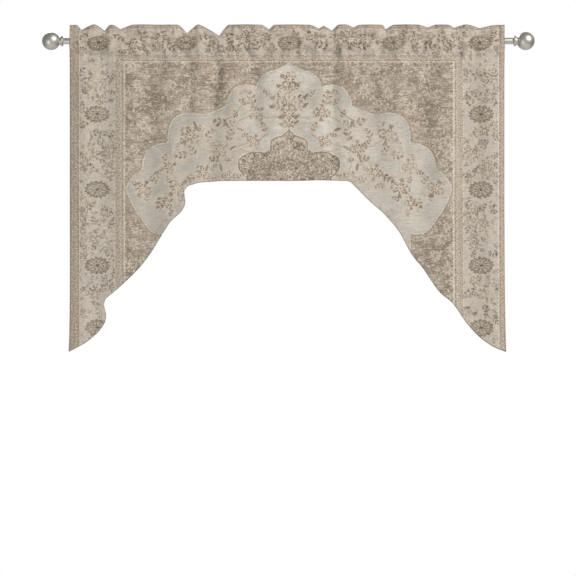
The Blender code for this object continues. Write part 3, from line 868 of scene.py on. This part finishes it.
class Nodes:
    """One material's shader. Its noises lie on the flat cloth if it is printed, and otherwise in space."""

    def __init__(self, name, printed=False):
        self.material = bpy.data.materials.new(name)
        self.material.use_nodes = True
        self.tree = self.material.node_tree
        self.noises = {}
        self.place = self.attribute("flat", "Vector") if printed else self.add("TexCoord", {})["Object"]

    def put(self, node, inputs):
        """Links a node's inputs, or sets them where they are the same all over."""
        for name, value in inputs.items():
            value = value.socket if isinstance(value, Value) else value
            if isinstance(value, bpy.types.NodeSocket):
                self.tree.links.new(value, node.inputs[name])
            else:
                node.inputs[name].default_value = value

    def add(self, kind, inputs, **settings):
        """A new node's outputs."""
        node = self.tree.nodes.new("ShaderNode" + kind)
        for name, value in settings.items():
            setattr(node, name, value)
        self.put(node, inputs)
        return node.outputs

    def finish(self, inputs):
        self.put(self.tree.nodes["Principled BSDF"], inputs)
        return self.material

    def math(self, operation, first, second=0.0, clamp=False):
        return Value(self, self.add("Math", {0: first, 1: second}, operation=operation, use_clamp=clamp)[0])

    def distance(self, x, y):
        return self.math("SQRT", x * x + y * y)

    def polar(self, x, y):
        return self.distance(x, y), self.math("ARCTAN2", y, x)

    def most(self, first, second):
        return self.math("MAXIMUM", first, second)

    def mix(self, share, first, second):
        return self.add("Mix", {0: share, 6: first, 7: second}, data_type="RGBA", clamp_factor=True)[2]

    def lay(self, ground, *prints):
        """Colours on a ground, one over another: each has its share, its colour and its strength."""
        for share, colour, strength in prints:
            ground = self.mix(share * strength, ground, colour)
        return ground

    def attribute(self, name, output):
        return self.add("Attribute", {}, attribute_name=name)[output]

    def read(self, name):
        return Value(self, self.attribute(name, "Fac"))

    def parts(self, vector):
        return [Value(self, output) for output in self.add("SeparateXYZ", {0: vector})]

    def moved(self, x, y):
        return self.add("VectorMath", {0: self.place, 1: (x, y, 0.0)}, operation="ADD")[0]

    def noise(self, scale, detail=2.0, roughness=0.5, shift=None):
        """Soft noise: its scale is one number or one for each direction, and shift moves it aside."""
        key = (scale, detail, roughness, shift)
        if key not in self.noises:
            place = self.moved(*shift) if shift else self.place
            if isinstance(scale, tuple):
                place = self.add("Mapping", {"Vector": place, "Scale": scale})[0]
                scale = 1.0
            inputs = {"Vector": place, "Scale": scale, "Detail": detail, "Roughness": roughness}
            self.noises[key] = Value(self, self.add("TexNoise", inputs)["Fac"])
        return self.noises[key]

    def spots(self, spacing, shift, share):
        """Scattered places: x and y from the nearest, turned at random, its size and 1 if it is chosen."""
        place = self.moved(*shift)
        inputs = {"Vector": place, "Scale": 1.0 / spacing, "Randomness": SPOT_RANDOMNESS}
        cells = self.add("TexVoronoi", inputs, voronoi_dimensions="2D")
        away = self.add("VectorMath", {0: place, 1: cells["Position"]}, operation="SUBTRACT")[0]
        turn, size, pick = [Value(self, chance) for chance in self.add("SeparateColor", {0: cells["Color"]})]
        inputs = {"Vector": away, "Angle": turn * (2 * math.pi)}
        x, y, _ = self.parts(self.add("VectorRotate", inputs, rotation_type="Z_AXIS")[0])
        return x, y, size, self.between(pick, 1.0 - share, 1.02 - share)

    def between(self, value, low, high):
        """0 below low and 1 above high, soft between."""
        inputs = {"Value": value, "From Min": low, "From Max": high}
        return Value(self, self.add("MapRange", inputs, interpolation_type="SMOOTHSTEP")[0])

    def band(self, value, low, high, soft=0.8):
        """1 from low to high, 0 outside."""
        rise = self.between(value, low - soft, low + soft)
        fall = self.between(value, high - soft, high + soft)
        return self.math("SUBTRACT", rise, fall, clamp=True)

    def relief(self, *layers):
        """A bumped normal: each layer has its height and that height's size in metres."""
        below = {}
        for height, size in layers:
            inputs = {"Strength": 1.0, "Distance": size, "Height": height}
            below = {"Normal": self.add("Bump", inputs | below)[0]}
        return below["Normal"]


def wobble(n, value, reach):
    """A distance that runs unevenly, as a line does on a hand-knotted rug."""
    fine = (n.noise(0.4, 3.0, 0.7) - 0.5) * reach
    return value + fine + (n.noise(0.07, 1.0, 0.5) - 0.5) * (reach * 0.8)


def speckled(n):
    """1 and 0 in small uneven specks, as where a pile is half worn away."""
    return n.between(n.noise((0.2, 0.32, 1.0), 3.0, 0.8), 0.42, 0.55)


def worn(n, depth, spread=0.0, ragged=4.0, rubbed=0.5):
    """Turns depth inside a shape into ink, with ragged edges and rubbed places."""
    shape = n.between(wobble(n, depth, ragged), -1.0 - spread, 0.8 - spread)
    return shape * (speckled(n) * rubbed + (1.0 - rubbed))


def flowers(n, spacing, shift, ground, inks, share, petals=6, size=0.4, rubbed=0.6):
    """Small flowers here and there on a ground: their petals, then their hearts."""
    x, y, chance, chosen = n.spots(spacing, shift, share)
    far, angle = n.polar(x, y)
    reach = (chance * 0.5 + 0.65) * (spacing * size)
    petal = reach * (ripple(n, angle, petals) * 0.24 + 0.76) - far
    for depth, ink, strength in ((petal, inks[0], 0.85), (reach * 0.3 - far, inks[1], 0.9)):
        ground = n.lay(ground, (worn(n, depth, 0.0, 5.0, rubbed) * chosen, ink, strength))
    return ground


def leaves(n, spacing, shift, ground, ink, share, slim=0.11):
    """Small leaves here and there on a ground, bent a little."""
    x, y, _, chosen = n.spots(spacing, shift, share)
    length, width = spacing * 0.32, spacing * slim
    leaf = (1.0 - n.distance(x / length, (x * x * 0.03 + y) / width)) * width
    return n.lay(ground, (worn(n, leaf, 0.4) * chosen, ink, 0.9))


def ripple(n, angle, times, shift=0.0):
    """A wave round a motif, from -1 to 1."""
    return n.math("COSINE", angle * float(times) + shift)


def within(n, kind, unrest):
    """Where a point lies in its motif, drawn unevenly: x, y, and 1 near the motif."""
    x, y, out = n.parts(n.attribute(kind, "Vector"))
    x = x + (n.noise(0.16, 2.0, 0.6) - 0.5) * unrest
    y = y + (n.noise(0.16, 2.0, 0.6, (71.0, 29.0)) - 0.5) * unrest
    return x, y, n.between(out, 0.66, 0.6)


def bloom_inks(n):
    """A flower: pale petals, a dark fringe of fine strokes, leaf tips outside and a dark-eyed heart."""
    x, y, near = within(n, "bloom", 0.22)
    far, angle = n.polar(x, y)
    petals = ripple(n, angle, 6)
    fringe = n.band(far, 0.15, 0.34, 0.02) * n.between(ripple(n, angle, 9, 0.6), -0.35, 0.15)
    tips = n.band(far, 0.36, 0.49, 0.02) * n.between(petals, 0.1, 0.5)
    stray = n.band(far, 0.48, 0.62, 0.02) * n.between(ripple(n, angle, 4, 2.0), 0.4, 0.7)
    return near, (
        (n.between(petals * 0.07 + 0.43 - far, -0.02, 0.03), MOTIF_PALE, 0.6),
        (fringe, DARK_INK, 0.95),
        (tips, MOTIF_BROWN, 0.95),
        (stray, MOTIF_BROWN, 0.8),
        (n.between(far, 0.13, 0.1), CREAM, 0.6),
        (n.between(far, 0.07, 0.04), CORE_INK, 0.9),
    )


def spray_inks(n):
    """A sprig: a hair-thin stem, slanting pairs of small leaves and a bud."""
    x, y, near = within(n, "spray", 0.34)
    aside = abs(y)
    step = n.math("FRACT", x * 2.7 + 40.2) - 0.5
    lean = step / 2.7 - (aside - 0.18) * 0.6
    leaf = n.between(n.distance(lean / 0.11, (aside - 0.18) / 0.15), 1.15, 0.85)
    kept = n.between(n.noise(0.11, 1.0, 0.5), 0.36, 0.44)
    return near, (
        (n.between(aside, 0.05, 0.02) * n.band(x, -0.5, 0.45, 0.03), MID_INK, 0.7),
        (leaf * n.band(x, -0.44, 0.42, 0.03) * kept, DARK_INK, 0.95),
        (n.between(n.distance(x - 0.46, y), 0.15, 0.11), MOTIF_BROWN, 0.9),
    )


def rosette_inks(n):
    """An oval border flower: a dark ring of ragged petals round a heart of fine strokes."""
    x, y, near = within(n, "rosette", 0.2)
    far, angle = n.polar(x, y)
    rays = ripple(n, angle, 10, 1.0)
    body = n.between(ripple(n, angle, 15) * 0.035 + 0.46 - far, -0.02, 0.02)
    gaps = n.band(far, 0.27, 0.42, 0.02) * n.between(ripple(n, angle, 19, 2.0), 0.3, 0.8)
    specks = n.between(n.noise(0.3, 2.0, 0.8, (31.0, 5.0)), 0.52, 0.6)
    return near, (
        (body, MOTIF_BROWN, 0.7),
        (n.between(far, 0.3, 0.36) * body, DARK_INK, 0.65),
        (gaps, FIELD_PALE, 0.42),
        (n.band(far, 0.1, 0.3, 0.02) * n.between(rays, -0.3, -0.8), CREAM, 0.5),
        (n.band(far, 0.13, 0.27, 0.02) * n.between(rays, -0.1, 0.5), DARK_INK, 0.5),
        (body * specks, FIELD_PALE, 0.36),
        (n.between(far, 0.08, 0.05), CORE_INK, 0.9),
    )


def palmette_inks(n):
    """A fan of pointed petals over two drooping leaves."""
    x, y, near = within(n, "palmette", 0.2)
    far, angle = n.polar(x, y)
    turned = abs(angle)
    body = n.between(0.5 - turned * 0.09 - far, 0.0, 0.03) * n.between(turned, 1.55, 1.4)
    tips = body * n.between(ripple(n, angle, 7), 0.0, 0.5) * n.between(far, 0.2, 0.24)
    return near, (
        (body, MOTIF_PALE, 0.6),
        (tips, DARK_INK, 0.85),
        (n.band(far, 0.12, 0.2, 0.02) * n.between(turned, 0.5, 1.0), DARK_INK, 0.8),
        (n.band(turned, 1.9, 2.3, 0.1) * n.band(far, 0.14, 0.46, 0.04), MOTIF_BROWN, 0.85),
        (n.between(far, 0.07, 0.04), DARK_INK, 0.8),
    )


def field_colour(n):
    """The dark field: clouded, streaked along the weft and thick with worn blossoms."""
    mottle = n.noise((0.06, 0.12, 1.0), 4.0, 0.72)
    hue = n.noise(0.013, 2.0, 0.6, (260.0, 33.0))
    field = n.lay(
        FIELD_GROUND,
        (n.between(n.noise((0.014, 0.022, 1.0), 3.0, 0.6), 0.44, 0.6), FIELD_DEEP, 1.0),
        (n.between(hue, 0.5, 0.62), FIELD_WARM, 0.5),
        (n.between(hue, 0.48, 0.36), FIELD_OLIVE, 0.5),
        (n.between(wobble(n, n.read("ink_cloud"), 20.0), -12.0, 8.0), FIELD_DEEP, 0.6),
        (n.between(mottle, 0.5, 0.64), FIELD_PALE, 0.5),
        (n.between(n.read("weft"), -380.0, -600.0), FIELD_DEEP, 0.4),
        (n.between(n.noise((0.014, 0.26, 1.0), 3.0, 0.65), 0.5, 0.6), FIELD_DEEP, 0.85),
    )
    field = leaves(n, 21.0, (55.0, 10.0), field, FIELD_DEEP, 0.6, 0.16)
    field = flowers(n, 44.0, (0.0, 0.0), field, (FIELD_PALE, GUARD_DEEP), 0.75, 9, 0.44, 0.8)
    field = flowers(n, 26.0, (140.0, 60.0), field, (FIELD_PALE, FIELD_DEEP), 0.4, 6, 0.3, 0.9)
    specks = n.between(n.noise((0.2, 0.32, 1.0), 2.0, 0.8, (31.0, 5.0)), 0.55, 0.61)
    field = n.lay(field, (specks * n.between(mottle, 0.46, 0.58), CREAM, 0.95))
    return leaves(n, 13.0, (5.0, 210.0), field, FIELD_PALE, 0.3, 0.17)


def medallion_colour(n):
    """The pale medallion's ground: brushed along the weft, warmer round its flowers, and with painted shade
    towards both sides, heavier on the left.
    """
    warp = n.read("warp")
    return n.lay(
        MEDALLION_GROUND,
        (n.between(n.noise(0.016, 3.0, 0.55), 0.4, 0.66), MEDALLION_SHADE, 0.6),
        (n.between(n.noise((0.02, 0.28, 1.0), 3.0, 0.6), 0.5, 0.7), MEDALLION_SHADE, 0.7),
        (n.between(n.noise(0.1, 3.0, 0.6), 0.52, 0.7), BORDER_SHADE, 0.6),
        # Painted shade: the medallion darkens towards its left side and, less, towards its right
        (n.between(warp, -30.0, -200.0), MEDALLION_SHADE, 0.72),
        (n.between(warp, 70.0, 300.0), MEDALLION_SHADE, 0.34),
        (n.between(wobble(n, n.read("halo"), 14.0), -11.0, 1.0), MEDALLION_WARM, 0.75),
    )


def with_medallion(n, field):
    """The pale medallion on the field, with the lines of its edging."""
    edge = wobble(n, n.read("medallion"), 4.0)
    kept = n.between(n.noise(0.05, 3.0, 0.7), 0.38, 0.56)
    ground = n.lay(field, (n.band(edge, -9.0, -1.0, 2.5), FIELD_GROUND, 0.6))
    return n.lay(
        n.mix(n.between(edge, -1.2, 1.2), ground, medallion_colour(n)),
        (n.band(edge, -1.4, 2.0, 1.0) * kept, CREAM, 0.6),
        (n.band(edge, -5.4, -2.6, 1.0) * kept, GUARD_DEEP, 0.8),
        (n.band(edge, 3.2, 4.8, 0.9), MID_INK, 0.3),
    )


def with_inner_medallion(n, ground):
    """The brown medallion inside the pale one: mottled, crowded with worn leaves and pale in its peak."""
    inner = wobble(n, n.read("inner"), 7.0)
    mottle = n.between(n.noise(0.13, 4.0, 0.7), 0.44, 0.62)
    rim = n.band(inner, -16.0, 0.0, 7.0)
    peak = n.between(n.read("weft") + mottle * 14.0, -318.0, -298.0)
    deep = n.lay(INNER_GROUND, (mottle, FIELD_PALE, 0.72), (rim, INNER_GROUND, 0.4))
    deep = leaves(n, 14.0, (20.0, 30.0), deep, DARK_INK, 0.5, 0.18)
    deep = flowers(n, 27.0, (70.0, 130.0), deep, (FIELD_PALE, DARK_INK), 0.5)
    deep = leaves(n, 11.0, (120.0, 80.0), n.lay(deep, (peak, MOTIF_PALE, 0.78)), CREAM, 0.36, 0.17)
    return n.lay(
        n.mix(n.between(inner, -1.0, 1.0), ground, deep),
        (n.band(inner, -3.8, -1.2, 1.0), CREAM, 0.5),
        (n.band(inner, -0.6, 2.6, 1.0), DARK_INK, 0.75),
    )


def border_colour(n):
    """The pale border, with small leaves all over that are left out under the rosettes."""
    weft = n.read("weft")
    blotch = n.between(n.noise(0.022, 3.0, 0.65), 0.5, 0.62) * n.between(weft, -56.0, -30.0)
    border = n.lay(
        BORDER_GROUND,
        (n.between(n.noise(0.11, 3.0, 0.65), 0.42, 0.68), BORDER_SHADE, 1.0),
        (n.between(n.noise(0.014, 2.0, 0.5, (9.0, 400.0)), 0.42, 0.6), BORDER_COOL, 0.55),
        (n.between(weft, -26.0, -2.0), MOTIF_PALE, 0.4),
        (blotch, MOTIF_BROWN, 0.34),
    )
    crowded = leaves(n, 18.0, (80.0, 20.0), border, MID_INK, 0.35)
    crowded = leaves(n, 13.0, (40.0, 190.0), crowded, MID_INK, 0.3, 0.18)
    return n.mix(n.between(n.read("clear"), 1.0, 8.0), border, crowded)


def guard_colour(n, outward, ground):
    """A guard stripe: a small running check, half rubbed away."""
    beat = n.math("SINE", n.read("along") * (2 * math.pi / CHECK_LENGTH))
    sway = n.math("SINE", outward * (2 * math.pi / CHECK_HEIGHT))
    check = beat * sway * 0.22 + (n.noise(0.26, 3.0, 0.75) - 0.5) * 7.0
    dark, pale = n.between(check, 0.0, 0.4), n.between(check, -0.3, -0.8)
    return n.lay(ground, (dark, GUARD_DEEP, 0.7), (pale, CREAM, 0.7))


def with_motifs(n, outward, ground):
    """The inks of all motifs, off the guard stripes; all but the rosettes are faded here and there."""
    clear = (1.0 - n.band(outward, 0.0, 28.0, 1.0)) * (1.0 - n.between(outward, 126.0, 130.0))
    faded = n.between(n.noise(0.022, 2.0, 0.6), 0.42, 0.6) * n.between(n.read("weft"), -40.0, -64.0)
    rubbed = clear * (1.0 - faded * 0.45) * (speckled(n) * 0.28 + 0.72)
    for ink, colour, strength in INK_COLOURS:
        shape = n.between(wobble(n, n.read("ink_" + ink), 2.4), -1.0 - INK_SPREAD, 0.8 - INK_SPREAD)
        ground = n.lay(ground, (shape * rubbed, colour, strength))
    for inks in (spray_inks, bloom_inks, palmette_inks, rosette_inks):
        near, marks = inks(n)
        share = near * (clear if inks is rosette_inks else rubbed)
        ground = n.lay(ground, *[(shape * share, colour, strength) for shape, colour, strength in marks])
    return ground


def printed_colour(n):
    """The rug print: field, medallions, borders and motifs, all of it worn."""
    outward = wobble(n, n.read("outward"), 1.8)
    ground = with_inner_medallion(n, with_medallion(n, field_colour(n)))
    ground = n.mix(n.between(outward, 27.0, 29.0), ground, border_colour(n))
    for low, high, colour in GUARDS:
        ground = n.mix(n.band(outward, low, high, 0.9), ground, guard_colour(n, outward, colour))
    ragged = n.between(n.noise(0.2, 3.0, 0.65), 0.36, 0.54)
    for low, high, colour, strength in GUARD_LINES:
        ground = n.lay(ground, (n.band(outward, low, high, 0.8) * ragged, colour, strength))
    ground = with_motifs(n, outward, ground)
    still = n.between(n.read("medallion"), 0.0, 4.0) * n.between(n.read("inner"), 2.0, -2.0)
    still = n.most(still, n.band(outward, 28.0, 130.0, 2.0) * 0.75)
    return age(n, ground, 1.0 - still * 0.6)


def age(n, colour, calm):
    """Wear over the whole print: rubbed places, thin weft streaks and a fine grain."""
    thin = n.noise((0.04, 0.4, 1.0), 3.0, 0.6)
    grain = n.noise((0.2, 0.32, 1.0), 3.0, 0.8, (13.0, 7.0))
    return n.lay(
        colour,
        (n.between(n.noise(0.012, 4.0, 0.6), 0.5, 0.72), RUBBED, 0.2),
        (n.between(thin, 0.52, 0.7), GRAIN_DARK, 0.3),
        (n.between(thin, 0.48, 0.3), GRAIN_PALE, 0.25),
        (n.between(grain, 0.5, 0.64) * calm, GRAIN_DARK, 0.5),
        (n.between(grain, 0.5, 0.36) * calm, GRAIN_PALE, 0.45),
    )


def stitches(n, along, distance, place):
    """1 on the threads of a line of stitching at a distance from an edge."""
    line = n.band(distance, place - THREAD_HALF, place + THREAD_HALF, 0.25)
    beat = n.math("MODULO", abs(along) + 5.0, STITCH + STITCH_GAP)
    return line * n.band(beat, 0.5, STITCH, 0.25)


def weave(n):
    """Height of a plain weave with uneven threads."""
    warp = n.math("SINE", n.read("warp") * (2 * math.pi / WARP_SPACING))
    weft = n.math("SINE", n.read("weft") * (2 * math.pi / WEFT_SPACING))
    slubs = n.noise((0.06, 1.6, 1.0), 2.0, 0.6) + n.noise((1.6, 0.06, 1.0), 2.0, 0.6)
    return (warp + weft) * 0.12 + slubs


def cloth_material(name, reverse):
    """Printed woven polyester: its printed face, or the paler reverse where the print only shows through."""
    n = Nodes(name, printed=True)
    edge, warp, height = n.read("edge"), n.read("warp"), n.read("weft")
    hem = stitches(n, warp + height, edge, HEM_WIDTH)
    seams = [stitches(n, warp, abs(height - seam), 0.0) for seam in (POCKET_BOTTOM, UPPER_STITCHES)]
    threads = n.most(hem, n.most(*seams))
    # Painted shade: a dark line along the hem, the side edges and the top crest, where the cloth turns over
    edge_shade = n.most(n.between(edge, 3.2, 0.4), n.between(n.read("crest"), 3.6, 1.2))
    colour = printed_colour(n)
    if reverse:
        colour = n.mix(0.74, colour, REVERSE_GROUND)
    by_seam = n.most(n.band(height - POCKET_BOTTOM, -9.0, 9.0, 7.0), n.band(edge, 0.0, 16.0, 4.0))
    crumple = n.noise((0.027, 0.024, 1.0), 2.0, 0.45, (17.0, 3.0)) - 0.5
    normal = n.relief(
        (crumple * (n.between(height, -64.0, -36.0) + 0.2), CRUMPLE_HEIGHT),
        (n.noise((0.09, 0.02, 1.0), 2.0, 0.5) * by_seam, PUCKER_HEIGHT),
        (1.0 - n.band(edge, *HEM_GROOVE, 1.0) + threads * 0.6, STITCH_HEIGHT),
        (weave(n), WEAVE_HEIGHT),
    )
    return n.finish(
        {
            "Base Color": n.lay(colour, (threads, THREAD, 0.7), (edge_shade, PAINTED_EDGE_SHADE, 0.5)),
            "Roughness": 0.88,
            "Specular IOR Level": 0.28,
            "Sheen Weight": 0.12,
            "Sheen Roughness": 0.5,
            "Normal": normal,
        }
    )


def metal_material(name, marks_scale):
    """Satin nickel with fine marks."""
    n = Nodes(name)
    marks, smudge = n.noise(marks_scale, 3.0, 0.6), n.noise(55.0, 4.0, 0.6)
    return n.finish(
        {
            "Base Color": n.mix(n.between(smudge, 0.4, 0.7), NICKEL, NICKEL_SHADE),
            "Metallic": 1.0,
            "Roughness": (marks + smudge) * 0.08 + 0.4,
            "Normal": n.relief((marks, MARK_HEIGHT)),
        }
    )


# Pieces


def add_piece(name, mesh, node):
    piece = bpy.data.objects.new(name, mesh)
    bpy.context.scene.collection.objects.link(piece)
    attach(piece, "root")
    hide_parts(node)
    return piece


def reverse_rows(count):
    """The rows that the cloth's reverse keeps: it carries less detail than the printed face."""
    kept = list(range(0, BODY_ROWS - 1, REVERSE_BODY_STEP)) + list(range(BODY_ROWS - 1, count, REVERSE_STEP))
    return kept if kept[-1] == count - 1 else kept + [count - 1]


def cloth_faces(rows, columns, kept):
    """Faces of the printed side, of the reverse and of the edges that join them."""
    face = np.arange(rows * columns).reshape(rows, columns)
    back = rows * columns + np.arange(len(kept) * columns).reshape(len(kept), columns)
    printed = np.stack([face[:-1, :-1], face[:-1, 1:], face[1:, 1:], face[1:, :-1]], axis=-1)
    reverse = np.stack([back[:-1, :-1], back[1:, :-1], back[1:, 1:], back[:-1, 1:]], axis=-1)
    edges = []
    for end, flip in ((0, 1), (-1, -1)):
        for c in range(columns - 1):
            side = [*face[end, c : c + 2][::-1].tolist(), *back[end, c : c + 2].tolist()]
            edges.append(side[::flip])
        for r, (low, high) in enumerate(zip(kept, kept[1:])):
            side = [*face[low : high + 1, end].tolist(), *back[r : r + 2, end][::-1].tolist()]
            edges.append(side[::flip])
    return printed.reshape(-1, 4).tolist(), reverse.reshape(-1, 4).tolist(), edges


def cloth_mesh(points, kept):
    """The sheet as a closed shell: its points, then those of the reverse in the kept rows."""
    inner = (points - grid_normals(points) * CLOTH_THICKNESS)[kept]
    printed, reverse, edges = cloth_faces(*points.shape[:2], kept)
    mesh = bpy.data.meshes.new("printed_swag")
    places = np.concatenate([points.reshape(-1, 3), inner.reshape(-1, 3)]) * MM
    mesh.from_pydata(places.tolist(), [], printed + reverse + edges)
    slots = [0] * len(printed) + [1] * len(reverse) + [0] * len(edges)
    mesh.polygons.foreach_set("material_index", slots)
    mesh.materials.append(cloth_material("printed face", False))
    mesh.materials.append(cloth_material("cloth reverse", True))
    mesh.shade_smooth()
    return mesh


def build_cloth():
    """The printed sheet, its print carried by its points."""
    points, flats, crest = cloth_grid()
    kept = reverse_rows(len(points))
    mesh = cloth_mesh(points, kept)
    flat = np.concatenate([flats.reshape(-1, 2), flats[kept].reshape(-1, 2)])
    for name, values in print_layers(flat, crest).items():
        kind, field = ("FLOAT", "value") if values.ndim == 1 else ("FLOAT_VECTOR", "vector")
        mesh.attributes.new(name, kind, "POINT").data.foreach_set(field, values.astype(np.float32).ravel())
    cloth = add_piece("printed_swag", mesh, "swag_panel")


def rounded(corners):
    """A profile with its corners turned round. A corner is along, radius, rounding."""
    points = []
    for k, (along, radius, rounding) in enumerate(corners):
        corner = np.array((along, radius))
        if not rounding:
            points.append((along, radius))
            continue
        ways = [np.array(other[:2]) - corner for other in (corners[k - 1], corners[(k + 1) % len(corners)])]
        start, end = [corner + way / np.linalg.norm(way) * rounding for way in ways]
        for t in np.linspace(0.0, 1.0, CORNER_STEPS):
            points.append(tuple((1 - t) ** 2 * start + 2 * t * (1 - t) * corner + t * t * end))
    return points


def finial_profile():
    """Distance past the rod's end and radius, from the ball's far pole to the spigot's end."""
    meets_neck = math.pi - math.asin(NECK_RADIUS / BALL_RADIUS)
    turns = np.linspace(0.0, meets_neck, BALL_STEPS)
    ball = [(BALL_CENTRE + BALL_RADIUS * math.cos(turn), BALL_RADIUS * math.sin(turn)) for turn in turns]
    return ball + rounded(((*ball[-1], 0.0), *FINIAL_CORNERS))


def turned(profile, start, side):
    """A mesh turned round the rod's axis, its profile running from start to one side."""
    angles = np.linspace(0.0, 2 * math.pi, TURN_STEPS, endpoint=False)
    form = bmesh.new()
    rings = []
    for along, radius in profile:
        place = (start + side * along) * MM
        out = radius * MM
        rings.append([form.verts.new((place, out * math.sin(a), out * math.cos(a))) for a in angles])
    for ring, following in zip(rings, rings[1:]):
        for k in range(TURN_STEPS):
            form.faces.new((ring[k - 1], ring[k], following[k], following[k - 1]))
    bmesh.ops.remove_doubles(form, verts=form.verts, dist=1e-6)
    bmesh.ops.dissolve_degenerate(form, edges=form.edges, dist=1e-7)
    bmesh.ops.recalc_face_normals(form, faces=form.faces)
    mesh = bpy.data.meshes.new("turned metal")
    form.to_mesh(mesh)
    form.free()
    mesh.shade_smooth()
    mesh.set_sharp_from_angle(angle=SHARP_ANGLE)
    return mesh


def build_metal():
    """The drawn tube and the two turned finials, finer than their solids and in the same sizes."""
    tube = rounded(ROD_CORNERS) + [ROD_CORNERS[0][:2]]
    ball = finial_profile()
    for name, node, profile, start, side, marks_scale in (
        ("rod_tube", "rod", tube, 0.0, 1, DRAWN_MARKS),
        ("ball_finial_left", "finial_left", ball, -ROD_HALF_LENGTH, -1, TURNED_MARKS),
        ("ball_finial_right", "finial_right", ball, ROD_HALF_LENGTH, 1, TURNED_MARKS),
    ):
        mesh = turned(profile, start, side)
        mesh.materials.append(metal_material(name + " satin nickel", marks_scale))
        add_piece(name, mesh, node)


# Studio


def add_light(name, place, size, power, colour):
    data = bpy.data.lights.new(name, "AREA")
    data.shape = "DISK"
    data.size = size
    data.energy = power
    data.color = colour
    light = bpy.data.objects.new(name, data)
    bpy.context.scene.collection.objects.link(light)
    light.location = place
    light.rotation_euler = (Vector(LIGHT_TARGET) - Vector(place)).to_track_quat("-Z", "Y").to_euler()


def add_camera():
    data = bpy.data.cameras.new("Camera")
    data.sensor_width = CAMERA_SENSOR
    data.lens = CAMERA_LENS
    camera = bpy.data.objects.new("Camera", data)
    bpy.context.scene.collection.objects.link(camera)
    camera.location = CAMERA_PLACE
    camera.rotation_euler = (math.pi / 2, 0.0, 0.0)
    bpy.context.scene.camera = camera


def add_world():
    """White to the camera, softer as a source of light."""
    world = bpy.data.worlds.new("Studio")
    bpy.context.scene.world = world
    world.use_nodes = True
    tree = world.node_tree
    path = tree.nodes.new("ShaderNodeLightPath")
    share = tree.nodes.new("ShaderNodeMix")
    tree.links.new(path.outputs["Is Camera Ray"], share.inputs[0])
    share.inputs[2].default_value = WORLD_LIGHT
    share.inputs[3].default_value = WORLD_SEEN
    tree.links.new(share.outputs[0], tree.nodes["Background"].inputs["Strength"])
    tree.nodes["Background"].inputs["Color"].default_value = (1.0, 1.0, 1.0, 1.0)


def add_floor():
    n = Nodes("studio floor")
    material = n.finish({"Base Color": n.mix(n.noise(3.0), FLOOR_PALE, FLOOR_SHADE), "Roughness": 0.9})
    place = (0.0, 0.0, FLOOR_HEIGHT)
    bpy.ops.mesh.primitive_circle_add(vertices=96, radius=FLOOR_RADIUS, fill_type="NGON", location=place)
    floor = bpy.context.object
    floor.name = "studio_floor"
    floor.data.materials.append(material)


build_metal()
build_cloth()
add_camera()
add_world()
add_floor()
for light in LIGHTS:
    add_light(*light)
bpy.context.scene.view_settings.view_transform = "Standard"
